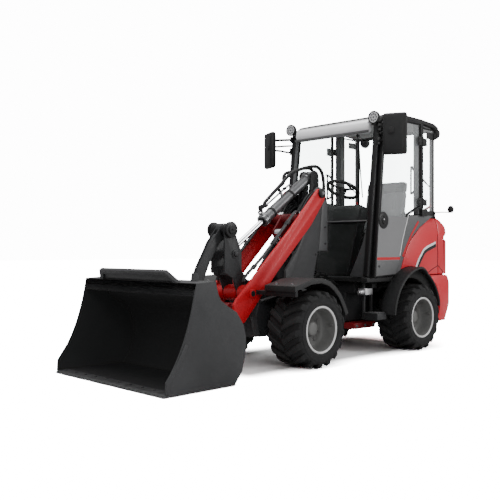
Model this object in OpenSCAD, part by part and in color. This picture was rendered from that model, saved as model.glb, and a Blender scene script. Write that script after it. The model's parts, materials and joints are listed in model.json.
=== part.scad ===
// Compact articulated wheel loader with cab, parallel-lift loader arms and a general bucket.
// Millimetres. +X forward, +Y left, +Z up. x = 0 in the source is the centre pivot, midway between the axles;
// the drawing is shifted by x_mid so that the origin is under the middle of the overall box.

/* [Overall] */
// distance between the axles
wheelbase = 1600; // [1400:10:1900]
// height of the cab roof
roof_z = 2400; // [2200:5:2600]
// forward tip of the bucket lip
lip_x = 2518; // [2300:1:2700]
// rear face of the counterweight
tail_x = -1625; // [-1800:1:-1500]

/* [Wheels] */
// outer radius of a tyre
tyre_r = 336; // [300:1:400]
// inner edge of a tyre from the centre plane
tyre_y0 = 349; // [300:1:400]
// outer edge of a tyre from the centre plane
tyre_y1 = 720; // [600:1:800]
// radius of the rim seat, a 15 inch rim with flange
rim_r = 204; // [180:1:230]
// radius of the wheel shaft
stub_r = 45; // [35:1:60]

/* [Bucket] */
// half width of the bucket
bucket_hw = 729; // [600:1:900]
// thickness of the bucket sheet
bucket_t = 12; // [8:1:20]

/* [Loader arm] */
// inner face of an arm beam
arm_y0 = 195; // [150:1:260]
// outer face of an arm beam
arm_y1 = 222; // [200:1:330]
// radius of the arm's main pivot pin
arm_pin_r = 35; // [25:1:50]
// radius of the linkage pins
pin_r = 28; // [20:1:40]
// radius of the pin at the top of the crank
link_pin_r = 44; // [30:1:50]
// radial running clearance at pins
run = 0.05; // [0.02:0.01:0.1]

/* [Cab] */
// height of the cab floor's underside
floor_z = 735; // [650:5:850]
// inner face of a door
door_y0 = 560; // [500:1:600]
// outer face of a door
door_y1 = 598; // [550:1:650]

/* [Hidden] */
$fn = 64;
x_mid = (lip_x + tail_x) / 2;
front_x = wheelbase / 2;
rear_x = -wheelbase / 2;
// linkage pins, each [x, z]
A = [219, 1565];    // arm to mast
H = [1560, 325];    // arm to hitch
K = [1156, 640];    // arm to crank
P = [1307, 1195];   // crank to link
L = [1612, 520];    // link to hitch
M = [146, 1742];    // tilt cylinder to mast
Q = [1240, 985];   // tilt rod to crank
B = [206, 388];     // lift cylinder to front frame
E = [565, 1182];    // lift rod to arm
red = [0.80, 0.05, 0.08];
dark = [0.16, 0.17, 0.18];
black = [0.05, 0.05, 0.05];
grey = [0.55, 0.56, 0.58];
clear = [0.8, 0.9, 0.9, 0.35];

// side outline of the bucket, [x, z], lip first, then up the leading edge, then down the back
bucket_curve = [[2497, 108], [2300, 340], [2225, 781]];
bucket_edge = concat([[lip_x, 3], [2501, 19]], [for (i = [0:9]) let (t = i / 9) pow(1 - t, 2) * bucket_curve[0] + 2 * t * (1 - t) * bucket_curve[1] + t * t * bucket_curve[2]]);
bucket_back = [[2037, 791], [2012, 695], [1985, 648], [1918, 602], [1825, 552], [1752, 449], [1730, 360], [1727, 272], [1768, 102], [1846, 3]];
// inner face of the sheet, [x, z], up the back from the floor
bucket_in = [[2700, 19], [1853, 19], [1780, 107], [1739.5, 274], [1742.5, 357], [1763, 443], [1833, 542], [1925, 591], [1993, 638], [2023, 690], [2046, 779], [2700, 770]];
// arm beam outline, [x, z], over the top from the pivot end and back underneath
arm_edge = [[180, 1605], [264, 1603], [711, 1167], [1345, 595], [1372, 552], [1374, 499], [1281, 379], [1245, 398], [841, 816], [371, 1252], [178, 1490], [155, 1545], [158, 1580]];
// front mudguard centre line, [x, z]
guard_out = [[1138, 672], [1136, 716], [1020, 742], [932, 766], [788, 774], [676, 744], [600, 694], [522, 622], [473, 546], [424, 455]];
guard_in = [[440, 448], [488, 537], [535, 610], [609, 680], [682, 729], [790, 758], [930, 750], [1016, 726], [1120, 702], [1122, 672]];
// door outline, [x, z]
door_edge = [[-118, 755], [-478, 768], [-524, 850], [-560, 960], [-607, 1118], [-716, 1373], [-955, 1470], [-955, 2338], [-365, 2338], [-277, 2262]];
door_glass = [[-185, 965], [-545, 965], [-593, 1123], [-706, 1384], [-941, 1479], [-941, 2324], [-372, 2324], [-317, 2240]];
// half width of the counterweight
weight_hw = 615;
// how its rear corners are drawn in, [distance along the diagonal, z]
weight_corner = [[-3000, 200], [1430, 200], [1500, 480], [1500, 640], [1464, 750], [1464, 800], [-3000, 800]];
// side panel outline, [x, z]
panel_edge = [[-629, 800], [-702, 966], [-813, 1120], [-984, 1247], [-1241, 1371], [-1338, 1384], [-1338, 757], [-640, 757]];

// two-dimensional [x, z] shape pushed from y0 to y1
module side(y0, y1) translate([0, y1, 0]) rotate([90, 0, 0]) linear_extrude(y1 - y0) children();
// the same on both sides
module sides(y0, y1) { side(y0, y1) children(); side(-y1, -y0) children(); }
module ycyl(r, p, y0, y1) translate([p[0], y1, p[1]]) rotate([90, 0, 0]) cylinder(r = r, h = y1 - y0);
module ycyls(r, p, y0, y1) { ycyl(r, p, y0, y1); ycyl(r, p, -y1, -y0); }
module both() { children(); mirror([0, 1, 0]) children(); }
// round bar in the side plane, from distance a to b along the line p to q
module bar(p, q, r, a, b) {
    d = q - p;
    translate([p[0], 0, p[1]]) rotate([0, atan2(d[0], d[1]), 0]) translate([0, 0, a]) cylinder(r = r, h = b - a);
}
// round rod between two points in space
module rod(p, q, r) {
    d = q - p;
    translate(p) rotate([0, acos(d[2] / norm(d)), atan2(d[1], d[0])]) cylinder(r = r, h = norm(d));
}
// plan rectangle with two rounded rear corners
module tail_plan(x0, x1, hw, r) {
    difference() {
        translate([x0, -hw]) square([x1 - x0, 2 * hw]);
        for (s = [-1, 1]) translate([x0, s * hw - (s > 0 ? r : 0)]) square([r, r]);
    }
    intersection() {
        translate([x0, -hw]) square([r, 2 * hw]);
        union() {
            for (s = [-1, 1]) translate([x0 + r, s * (hw - r)]) circle(r);
            translate([x0, -hw + r]) square([r, 2 * hw - 2 * r]);
        }
    }
}
// section across the tail, its upper corners drawn in
module tail_section(x0, x1) translate([x0, 0, 0]) rotate([90, 0, 90]) linear_extrude(x1 - x0)
    polygon([[-560, 200], [560, 200], [560, 1180], [548, 1290], [505, 1390], [-505, 1390], [-548, 1290], [-560, 1180]]);
// upright box from corner to corner
module block(a, b) translate(a) cube(b - a);

// ---- rear frame ----
module rear_frame() color(dark) difference() {
    union() {
        block([-1330, -190, 300], [-190, 190, 600]);
        block([-770, -300, 590], [-200, 300, 700]);
        block([-700, -170, 230], [-190, 170, 300]);
        block([-200, -60, 345], [0, 60, 535]);
        translate([0, 0, 345]) cylinder(r = 60, h = 190);
        translate([0, 0, 296]) cylinder(r = 30, h = 288);
        block([-640, -470, 640], [-560, 470, 700]);
        block([-340, -470, 640], [-260, 470, 700]);
    }
    ycyl(120, [rear_x, tyre_r], -400, 400);
}
module axle(x, c) color(c) translate([x, 0, tyre_r]) rotate([-90, 0, 0]) rotate_extrude()
    polygon([[0, -600], [stub_r, -600], [stub_r, -534], [105, -534], [105, -430], [70, -430], [70, -170], [112, -110], [112, 110],
             [70, 170], [70, 430], [105, 430], [105, 534], [stub_r, 534], [stub_r, 600], [0, 600]]);
module rear_axle() axle(rear_x, dark);
module engine() color(dark) block([-1320, -240, 620], [-780, 240, 1050]);
module counterweight() color(red) difference() {
    intersection() {
        translate([0, 0, 250]) linear_extrude(500) tail_plan(tail_x, -1150, weight_hw, 195);
        side(-700, 700) polygon([[-1100, 250], [tail_x + 45, 250], [tail_x, 430], [tail_x, 660], [tail_x + 15, 750], [-1100, 750]]);
        translate([-1700, 0, 0]) rotate([90, 0, 90]) linear_extrude(700)
            polygon([[-575, 250], [575, 250], [weight_hw, 480], [weight_hw, 660], [weight_hw - 25, 750], [25 - weight_hw, 750], [-weight_hw, 660], [-weight_hw, 480]]);
        rotate([0, 0, 135]) side(-3000, 3000) polygon(weight_corner);
        rotate([0, 0, 225]) side(-3000, 3000) polygon(weight_corner);
    }
    ycyl(400, [rear_x, tyre_r], -700, 700);
    ycyls(518, [rear_x, tyre_r], 558, 700);
    block([-1345, -200, 200], [-1100, 200, 760]);
    block([-1345, -460, 610], [-1100, 460, 760]);
    difference() {
        block([tail_x - 5, -110, 380], [-1530, 110, 760]);
        block([-1605, -60, 420], [-1525, 60, 445]);
        block([-1605, -60, 505], [-1525, 60, 530]);
    }
    translate([-1575, 0, 400]) cylinder(r = 16, h = 150);
    translate([-1575, 0, 200]) cylinder(r = 30, h = 201);
}
module side_panels() color(red) intersection() {
    sides(500, 560) difference() { polygon(panel_edge); translate([rear_x, tyre_r]) circle(514); }
    tail_section(-1400, -500);
}
module rear_fenders() color(black) both() intersection() {
    difference() { ycyl(512, [rear_x, tyre_r], 561, 714); ycyl(494, [rear_x, tyre_r], 500, 760); }
    side(500, 760) polygon([[-800, 336], [-200, 400], [-250, 900], [-1400, 900], [-1400, 440]]);
    translate([0, 0, 300]) linear_extrude(600) polygon([[-200, 561], [-200, 714], [-720, 714], [-1060, 612], [-1400, 612], [-1400, 561]]);
}
// black side walls between the doors and the red panels
module cab_sides() color(black) sides(500, 556) polygon([[-466, 760], [-622, 792], [-695, 969], [-808, 1125], [-981, 1253], [-1239, 1377], [-1298, 1386], [-1000, 1386],
    [-735, 1372], [-622, 1112], [-575, 955], [-538, 845]]);
module steps() color(black) both() {
    block([-282, 440, 345], [-128, 620, 412]);
    block([-280, 440, 411], [-252, 465, 640]);
    block([-160, 440, 411], [-132, 465, floor_z - 30]);
}

// ---- cab ----
module cab_floor() color(black) union() {
    block([-560, -556, floor_z - 30], [-125, 556, floor_z + 20]);
    both() block([-130, 480, floor_z - 30], [-60, 556, floor_z + 20]);
}
module engine_cover() color(black) side(-495, 495)
    polygon([[-562, 757], [-580, 1090], [-1190, 1130], [-1215, 1360], [-1334, 1384], [-1334, 1356], [-1240, 1334], [-1214, 1104], [-606, 1064], [-588, 757]]);
pillar_tilt = -6.87;
module cab_posts() color(black) both() {
    translate([-96, 528, 759.5]) rotate([0, pillar_tilt, 0]) translate([-35, -28, 0]) cube([70, 56, 1508]);
    block([-1061, 482, 1388], [-974, 556, 2348]);
    block([-1338, 488, 1390], [-1300, 520, 2318]);
}
module cab_roof() color(black) side(-550, 550)
    polygon([[-262, 2262], [-262, 2296], [-351, 2352], [-520, roof_z - 6], [-760, roof_z], [-1040, roof_z - 4], [-1290, 2378], [-1370, 2345], [-1370, 2310], [-1290, 2332],
             [-1040, 2350], [-760, 2354], [-440, 2346], [-340, 2282], [-340, 2262]]);
module front_header() color(grey) side(-470, 470)
    polygon([[-262, 2175], [-262, 2300], [-235, 2312], [-205, 2300], [-186, 2265], [-182, 2225], [-190, 2190], [-215, 2172]]);
module lower_glass() color(clear) translate([-115, 0, 757]) rotate([0, pillar_tilt, 0]) block([-6, -497, 0], [2, 497, 545]);
module windshield() color(clear) translate([-180, 0, 1312]) rotate([0, pillar_tilt, 0]) block([-5, -497, 0], [3, 497, 930]);
module rear_glass() color(clear) block([-1326, -486, 1392], [-1318, 486, 2312]);
module side_glass() color(clear) both() block([-1298, 506, 1392], [-1063, 514, 2322]);
module dash() color(black) union() {
    translate([-345, 0, 0]) rotate([90, 0, 90]) linear_extrude(130) polygon([[-200, 755], [200, 755], [330, 1300], [-330, 1300]]);
    side(-330, 330) polygon([[-215, 1299], [-232, 1430], [-262, 1476], [-400, 1440], [-430, 1380], [-345, 1299]]);
}
wheel_c = [-402, 1650];
module steering_wheel() color(black) translate([wheel_c[0], 0, wheel_c[1]]) rotate([0, -28, 0]) union() {
    rotate_extrude() translate([165, 0]) circle(18);
    translate([0, 0, -22]) cylinder(r = 42, h = 30);
    for (a = [90, 210, 330]) rotate([0, 0, a]) block([30, -12, -9], [162, 12, 5]);
    translate([0, 0, -203]) cylinder(r = 24, h = 188);
    translate([-106, 106, 10]) cylinder(r = 18, h = 50);
}
module seat_base() color(black) side(-200, 200) polygon([[-1060, 1122], [-1060, 1190], [-620, 1190], [-620, 1093]]);
module seat_cushion() color(grey) side(-250, 250) polygon([[-1080, 1191], [-1080, 1290], [-640, 1304], [-600, 1280], [-610, 1191]]);
module seat_back() color(grey) translate([-1082, 0, 1306]) rotate([0, -9, 0]) block([-105, -250, 0], [0, 250, 480]);
mirror_c = [-147, 810, 2112];
module mirrors() color(black) both() {
    translate(mirror_c) rotate([0, 0, 25]) block([-28, -113, -197], [32, 113, 197]);
    rod([-245, 563, 2215], [-150, 790, 2222], 13);
}
module work_lights() color(black) both() {
    translate([-238, 539, 2308]) rotate([0, 90, 0]) cylinder(r = 60, h = 60);
    translate([-262, 532, 2282]) rotate([0, 90, 0]) cylinder(r = 14, h = 25);
    translate([-1455, 467, 2293]) rotate([0, 90, 0]) cylinder(r = 58, h = 70);
    block([-1400, 455, 2290], [-1370, 480, 2335]);
}

// ---- doors and hood ----
module door(s) color(black) union() {
    difference() {
        side(s > 0 ? door_y0 : -door_y1, s > 0 ? door_y1 : -door_y0) polygon(door_edge);
        side(-700, 700) polygon(door_glass);
    }
    for (z = [1480, 2120]) translate([-962, s * 604, z]) cylinder(r = 14, h = 70);
}
module left_door() door(1);
module right_door() door(-1);
module left_door_glass() color(clear) side(575, 581) polygon([for (p = door_glass) p]);
module right_door_glass() color(clear) side(-581, -575) polygon([for (p = door_glass) p]);
hood_edge = [[tail_x, 757], [tail_x, 1050], [-1590, 1110], [-1470, 1140], [-1470, 1160], [-1540, 1200], [-1505, 1275], [-1440, 1340], [-1348, 1386], [-1348, 757]];
hood_in = [[tail_x + 40, 700], [tail_x + 40, 1035], [-1565, 1080], [-1430, 1112], [-1430, 1190], [-1490, 1215], [-1470, 1262], [-1420, 1305], [-1300, 1346], [-1300, 700]];
module hood() color(red) difference() {
    union() {
        ycyls(12, [-1352, 1390], 380, 440);
        intersection() {
            translate([0, 0, 700]) linear_extrude(800) tail_plan(tail_x, -1348, 560, 160);
            side(-600, 600) polygon(hood_edge);
            tail_section(-1700, -1300);
        }
    }
    intersection() {
        translate([0, 0, 700]) linear_extrude(800) tail_plan(tail_x + 40, -1300, 500, 120);
        side(-600, 600) polygon(hood_in);
    }
}

// ---- front frame ----
module front_frame() color(dark) difference() {
    union() {
        sides(120, 190) polygon([[70, 300], [70, 600], [700, 620], [1040, 560], [1085, 430], [1040, 250], [160, 240]]);
        block([160, -120, 240], [1040, 120, 262]);
        block([1000, -120, 262], [1040, 120, 560]);
        for (z = [300, 545]) translate([0, 0, z]) {
            difference() {
                union() { cylinder(r = 62, h = 35); block([0, -62, 0], [75, 62, 35]); block([70, -190, 0], [z > 400 ? 200 : 135, 190, 35]); }
                translate([0, 0, -5]) cylinder(r = 30 + run, h = 50);
            }
        }
        sides(70, 120) translate(B) circle(52);
        ycyl(26 - run, B, -121, 121);
    }
    ycyl(120, [front_x, tyre_r], -400, 400);
    block([-70, -200, 336], [68, 200, 544.5]);
}
module front_axle() axle(front_x, dark);
mast_edge = [[300, 609.5], [295, 766], [235, 1007], [85, 1007], [85, 1470], [140, 1605], [219, 1630], [280, 1585], [290, 1450], [400, 1240], [510, 1050], [690, 830], [700, 621], [380, 611]];
module mast() color(dark) union() {
    sides(165, 190) polygon(mast_edge);
    block([85, -165, 1007], [107, 165, 1470]);
    block([85, -165, 1420], [225, 165, 1470]);
    sides(56, 80) union() { polygon([[85, 1460], [85, 1720], [146, 1742], [205, 1720], [228, 1460]]); translate(M) circle(58); }
    ycyls(arm_pin_r, A, 160, 234);
    difference() { ycyl(26, M, -80, 80); ycyl(60, M, -51, 51); }
    ycyl(26 - run, M, -80, 80);
}
module front_fenders() color(black) union() {
    sides(352, 700) polygon(concat(guard_out, guard_in));
    sides(190, 420) polygon([[609, 682], [682, 731], [688, 716], [615, 667]]);
}

// ---- loader arm ----
module arm_beams() color(red) difference() {
    sides(arm_y0, arm_y1) polygon(arm_edge);
    ycyl(arm_pin_r + run, A, -400, 400);
    ycyl(pin_r + run, K, -400, 400);
}
module arm_cross() color(dark) difference() {
    union() {
        ycyl(50, [455, 1315], -arm_y0, arm_y0);
        sides(42, 62) polygon([[418, 1282], [492, 1350], [610, 1200], [540, 1140]]);
        ycyls(46, E, 42, 62);
        ycyl(55, [1268, 505], -arm_y0, arm_y0);
        sides(65, 115) polygon([[1240, 460], [1255, 555], [1330, 560], [1590, 390], [1545, 258]]);
        ycyls(70, H, 65, 115);
    }
    ycyl(pin_r + run, H, -200, 200);
}
module hitch_pin() color(grey) union() { ycyl(pin_r, H, -160, 160); ycyl(60, H, -63, 63); ycyls(60, H, 152, 176); }
module crank_pin() color(grey) union() { ycyl(pin_r, K, -226, 226); ycyl(72, K, -76, 76); ycyls(72, K, 95, 193); ycyls(42, K, 224, 232); }
module link_pin() color(grey) union() { ycyl(link_pin_r, P, -100, 100); ycyls(58, P, 34, 76); ycyls(70, P, 95, 125); }
module crank() color(dark) difference() {
    union() {
        sides(78, 93) polygon([[1098, 660], [1120, 800], [1160, 835], [1160, 1001], [1195, 1080], [1247, 1195], [1367, 1195], [1362, 960], [1363, 824], [1265, 770], [1214, 650]]);
        ycyls(60, P, 78, 93);
        ycyls(62, K, 78, 93);
        ycyls(38, Q, 93, 104);
        side(-79, 79) polygon([[1180, 800], [1180, 880], [1300, 880], [1290, 800]]);
    }
    ycyl(pin_r + run, K, -200, 200);
    ycyl(link_pin_r + run, P, -200, 200);
}
// bent link between crank and hitch, its lower eye open
module link() color(dark) difference() {
    union() {
        sides(20, 32) polygon([[1335, 1240], [1400, 1165], [1470, 1085], [1515, 1002], [1590, 879], [1648, 753], [1658, 528], [1566, 512], [1558, 740], [1479, 909], [1423, 1002], [1375, 1070], [1270, 1150]]);
        ycyl(58, P, -32, 32);
        ycyls(48, L, 20, 32);
        ycyl(20, [1545, 850], -21, 21);
    }
    ycyl(link_pin_r + run, P, -200, 200);
    ycyl(26, L, -200, 200);
}
module tilt_barrel() color(dark) difference() {
    union() { bar(M, Q, 50, 45, 800); bar(M, Q, 56, 750, 802); ycyl(52, M, -50, 50); }
    bar(M, Q, 25 + run, 370, 900);
    ycyl(26, M, -100, 100);
}
module tilt_rod() color(grey) difference() {
    union() { bar(M, Q, 25, 480, norm(Q - M)); ycyl(44, Q, -36, 36); }
    ycyl(24, Q, -100, 100);
}
module lift_barrel() color(dark) difference() {
    union() { bar(B, E, 50, 0, 795); bar(B, E, 57, 745, 797); ycyl(56, B, -64, 64); }
    bar(B, E, 27 + run, 90, 900);
    ycyl(26, B, -100, 100);
}
module lift_rod() color(grey) difference() {
    union() { bar(B, E, 27, 110, norm(E - B)); ycyl(42, E, -34, 34); }
    ycyl(24, E, -100, 100);
}

// ---- hitch and bucket ----
module quick_hitch() color(red) difference() {
    union() {
        side(-420, 420) polygon([[1680, 235], [1680, 470], [1700, 560], [1735, 560], [1718, 440], [1712, 350], [1712, 270], [1730, 170], [1712, 170]]);
        sides(122, 150) polygon([[1515, 285], [1690, 235], [1690, 560], [1610, 540]]);
        ycyls(64, H, 122, 150);
        sides(38, 60) union() { polygon([[1585, 560], [1705, 560], [1690, 420], [1640, 430]]); translate(L) circle(50); }
    }
    ycyl(pin_r + run, H, -400, 400);
    block([1670, -37.5, 400], [1760, 37.5, 600]);
}
module bucket() color(dark) union() {
    difference() {
        side(-bucket_hw, bucket_hw) polygon(concat(bucket_edge, bucket_back));
        side(-bucket_hw + bucket_t, bucket_hw - bucket_t) polygon(bucket_in);
    }
    translate([2192, 0, 780]) rotate([0, 36, 0]) rotate([90, 0, 90]) linear_extrude(12) polygon([[-510, 0], [510, 0], [419, 110], [-419, 110]]);
    both() side(-560, -535) polygon([[2060, 780], [2050, 830], [2075, 850], [2105, 850], [2120, 780]]);
    sides(300, 330) polygon([[1713, 270], [1713, 350], [1719, 440], [1737, 560], [1838, 557], [1757, 447], [1735, 359], [1732, 273], [1752, 188], [1728, 188]]);
}

// ---- wheels ----
module tyre(x, s) color(black) translate([x, 0, tyre_r]) rotate([s > 0 ? -90 : 90, 0, 0]) rotate_extrude()
    polygon([[rim_r, tyre_y0 + 10], [262, tyre_y0], [312, tyre_y0 + 14], [tyre_r, tyre_y0 + 44], [tyre_r, tyre_y1 - 44], [312, tyre_y1 - 14], [262, tyre_y1], [rim_r, tyre_y1 - 8]]);
module rim(x, s) color(grey) translate([x, 0, tyre_r]) rotate([s > 0 ? -90 : 90, 0, 0]) rotate_extrude()
    polygon([[stub_r + run, 541], [82, 541], [82, 600], [186, 600], [186, tyre_y0 + 14], [rim_r - 0.2, tyre_y0 + 14], [rim_r - 0.2, tyre_y1 - 12],
             [188, tyre_y1 - 12], [182, 640], [150, 622], [90, 622], [86, 648], [0, 648], [0, 606], [stub_r + run, 606]]);
module tyre_front_left() tyre(front_x, 1);
module tyre_front_right() tyre(front_x, -1);
module tyre_rear_left() tyre(rear_x, 1);
module tyre_rear_right() tyre(rear_x, -1);
module rim_front_left() rim(front_x, 1);
module rim_front_right() rim(front_x, -1);
module rim_rear_left() rim(rear_x, 1);
module rim_rear_right() rim(rear_x, -1);

module at() translate([-x_mid, 0, 0]) children();
at() rear_frame();
at() rear_axle();
at() engine();
at() counterweight();
at() side_panels();
at() cab_sides();
at() rear_fenders();
at() steps();
at() cab_floor();
at() engine_cover();
at() cab_posts();
at() cab_roof();
at() front_header();
at() lower_glass();
at() windshield();
at() rear_glass();
at() side_glass();
at() dash();
at() steering_wheel();
at() seat_base();
at() seat_cushion();
at() seat_back();
at() mirrors();
at() work_lights();
at() left_door();
at() left_door_glass();
at() right_door();
at() right_door_glass();
at() hood();
at() front_frame();
at() front_axle();
at() mast();
at() front_fenders();
at() arm_beams();
at() arm_cross();
at() hitch_pin();
at() quick_hitch();
at() bucket();
at() crank_pin();
at() crank();
at() link_pin();
at() link();
at() tilt_barrel();
at() tilt_rod();
at() lift_barrel();
at() lift_rod();
at() tyre_front_left();
at() tyre_front_right();
at() tyre_rear_left();
at() tyre_rear_right();
at() rim_front_left();
at() rim_front_right();
at() rim_rear_left();
at() rim_rear_right();
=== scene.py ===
import bpy, bmesh, json, math
import numpy as np
from mathutils import Matrix, Vector


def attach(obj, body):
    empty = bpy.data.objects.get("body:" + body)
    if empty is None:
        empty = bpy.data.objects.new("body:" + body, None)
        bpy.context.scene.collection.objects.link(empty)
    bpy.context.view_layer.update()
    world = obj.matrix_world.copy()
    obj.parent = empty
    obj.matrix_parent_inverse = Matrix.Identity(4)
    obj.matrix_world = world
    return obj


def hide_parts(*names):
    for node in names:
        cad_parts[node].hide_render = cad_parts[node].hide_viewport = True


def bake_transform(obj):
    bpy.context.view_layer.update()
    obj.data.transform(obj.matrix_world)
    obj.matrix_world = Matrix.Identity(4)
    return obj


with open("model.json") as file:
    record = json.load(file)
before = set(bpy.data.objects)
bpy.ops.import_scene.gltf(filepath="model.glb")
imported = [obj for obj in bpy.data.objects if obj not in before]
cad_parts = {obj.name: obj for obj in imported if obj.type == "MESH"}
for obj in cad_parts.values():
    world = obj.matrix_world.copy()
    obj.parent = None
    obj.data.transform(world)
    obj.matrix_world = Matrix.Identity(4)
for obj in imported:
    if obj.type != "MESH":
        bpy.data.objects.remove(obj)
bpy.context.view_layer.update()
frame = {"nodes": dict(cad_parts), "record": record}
NODES = frame["nodes"]
XM = 446.5            # millimetres from the centre pivot to the middle of the overall box


def V(x, y, z):
    """Millimetres about the centre pivot to metres in the row frame."""
    return Vector(((x - XM) / 1000.0, y / 1000.0, z / 1000.0))


# ------------------------------------------------------------------ camera, floor, light
cam_data = bpy.data.cameras.new("camera")
cam_data.lens, cam_data.sensor_width = 51.0, 36.0
cam = bpy.data.objects.new("camera", cam_data)
bpy.context.collection.objects.link(cam)
cam.location = V(5497, 4575, 1019)
cam.rotation_euler = (math.radians(90), 0, math.radians(225.276 - 90))
bpy.context.scene.camera = cam


def node(nt, kind, **values):
    n = nt.nodes.new(kind)
    for k, v in values.items():
        if k in n.inputs:
            n.inputs[k].default_value = v
        else:
            setattr(n, k, v)
    return n


def material(name, rgb, rough=0.5, metal=0.0, coat=0.0, vary=0.12, scale=5.0, rvar=0.08, bump=0.0, bscale=400.0, spec=0.5, streak=0.0, wear=None, sheen=0.0):
    """Procedural finish: colour that drifts, roughness that drifts, fine surface relief, and optional rubbed patches."""
    m = bpy.data.materials.new(name)
    m.use_nodes = True
    m.diffuse_color = (*rgb, 1)
    nt = m.node_tree
    b = nt.nodes["Principled BSDF"]
    co = node(nt, "ShaderNodeTexCoord")
    n1 = node(nt, "ShaderNodeTexNoise")
    n1.inputs["Scale"].default_value = scale
    n1.inputs["Detail"].default_value = 6.0
    nt.links.new(co.outputs["Object"], n1.inputs["Vector"])
    ramp = node(nt, "ShaderNodeValToRGB")
    lo = [c * (1 - vary) for c in rgb]
    hi = [min(1.0, c * (1 + vary) + 0.002 * vary) for c in rgb]
    ramp.color_ramp.elements[0].position, ramp.color_ramp.elements[1].position = 0.32, 0.68
    ramp.color_ramp.elements[0].color, ramp.color_ramp.elements[1].color = (*lo, 1), (*hi, 1)
    nt.links.new(n1.outputs["Fac"], ramp.inputs["Fac"])
    colour = ramp.outputs["Color"]
    n2 = node(nt, "ShaderNodeTexNoise")
    n2.inputs["Scale"].default_value = scale * 7.3
    n2.inputs["Detail"].default_value = 8.0
    nt.links.new(co.outputs["Object"], n2.inputs["Vector"])
    mr = node(nt, "ShaderNodeMapRange")
    mr.inputs["To Min"].default_value = max(0.02, rough - rvar)
    mr.inputs["To Max"].default_value = min(1.0, rough + rvar)
    nt.links.new(n2.outputs["Fac"], mr.inputs["Value"])
    rough_out = mr.outputs["Result"]
    if wear:
        n3 = node(nt, "ShaderNodeTexNoise")
        n3.inputs["Scale"].default_value = wear.get("scale", 9.0)
        n3.inputs["Detail"].default_value = 10.0
        n3.inputs["Roughness"].default_value = 0.7
        st = node(nt, "ShaderNodeMapping")
        st.inputs["Scale"].default_value = wear.get("stretch", (1, 1, 1))
        nt.links.new(co.outputs["Object"], st.inputs["Vector"])
        nt.links.new(st.outputs["Vector"], n3.inputs["Vector"])
        wr = node(nt, "ShaderNodeMapRange")
        wr.inputs["From Min"].default_value = wear.get("from", 0.60)
        wr.inputs["From Max"].default_value = wear.get("to", 0.72)
        wr.inputs["To Max"].default_value = wear.get("amount", 0.6)
        nt.links.new(n3.outputs["Fac"], wr.inputs["Value"])
        mx = node(nt, "ShaderNodeMix", data_type="RGBA")
        mx.inputs[7].default_value = (*wear["rgb"], 1)
        nt.links.new(wr.outputs["Result"], mx.inputs[0])
        nt.links.new(colour, mx.inputs[6])
        colour = mx.outputs[2]
    nt.links.new(colour, b.inputs["Base Color"])
    nt.links.new(rough_out, b.inputs["Roughness"])
    b.inputs["Metallic"].default_value = metal
    b.inputs["Coat Weight"].default_value = coat
    b.inputs["Coat Roughness"].default_value = 0.08
    b.inputs["Specular IOR Level"].default_value = spec
    b.inputs["Sheen Weight"].default_value = sheen
    if bump:
        n4 = node(nt, "ShaderNodeTexNoise")
        n4.inputs["Scale"].default_value = bscale
        n4.inputs["Detail"].default_value = 3.0
        nt.links.new(co.outputs["Object"], n4.inputs["Vector"])
        bp = node(nt, "ShaderNodeBump")
        bp.inputs["Strength"].default_value = bump
        bp.inputs["Distance"].default_value = 0.002
        nt.links.new(n4.outputs["Fac"], bp.inputs["Height"])
        nt.links.new(bp.outputs["Normal"], b.inputs["Normal"])
    return m


def glass(name, tint, veil, veil_rgb, sheen=0.06):
    """Thin pane: clear with a faint tint, a pale film that scatters light, and a mirror-like sheen."""
    m = bpy.data.materials.new(name)
    m.use_nodes = True
    m.diffuse_color = (*tint, 0.3)
    nt = m.node_tree
    out = nt.nodes["Material Output"]
    nt.nodes.remove(nt.nodes["Principled BSDF"])
    clear = node(nt, "ShaderNodeBsdfTransparent")
    clear.inputs["Color"].default_value = (*tint, 1)
    film = node(nt, "ShaderNodeBsdfDiffuse")
    film.inputs["Color"].default_value = (*veil_rgb, 1)
    shine = node(nt, "ShaderNodeBsdfGlossy")
    shine.inputs["Roughness"].default_value = 0.02
    co = node(nt, "ShaderNodeTexCoord")
    n1 = node(nt, "ShaderNodeTexNoise")
    n1.inputs["Scale"].default_value = 2.5
    nt.links.new(co.outputs["Object"], n1.inputs["Vector"])
    mr = node(nt, "ShaderNodeMapRange")
    mr.inputs["To Min"].default_value, mr.inputs["To Max"].default_value = veil * 0.75, veil * 1.25
    nt.links.new(n1.outputs["Fac"], mr.inputs["Value"])
    a = node(nt, "ShaderNodeMixShader")
    nt.links.new(mr.outputs["Result"], a.inputs["Fac"])
    nt.links.new(clear.outputs[0], a.inputs[1])
    nt.links.new(film.outputs[0], a.inputs[2])
    s = node(nt, "ShaderNodeMixShader")
    s.inputs["Fac"].default_value = sheen
    nt.links.new(a.outputs[0], s.inputs[1])
    nt.links.new(shine.outputs[0], s.inputs[2])
    nt.links.new(s.outputs[0], out.inputs["Surface"])
    return m


# the last value sets how dark the painted shadow under the machine gets, as a share of FLOOR_SEEN
SKY_LOW, SKY_TOP, BACKDROP, FLOOR_SEEN, FLOOR_SHADOW_DEPTH = 0.22, 0.95, 14.0, 20.0, 0.035
RED = material("red_gloss", (0.43, 0.004, 0.010), rough=0.50, coat=0.05, vary=0.05, scale=2.0, rvar=0.05, bump=0.02, bscale=900, spec=0.35)
BODYRED = material("red_body", (0.52, 0.012, 0.022), rough=0.40, coat=0.2, vary=0.05, scale=2.0, rvar=0.05, bump=0.02, bscale=900, spec=0.4)
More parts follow.
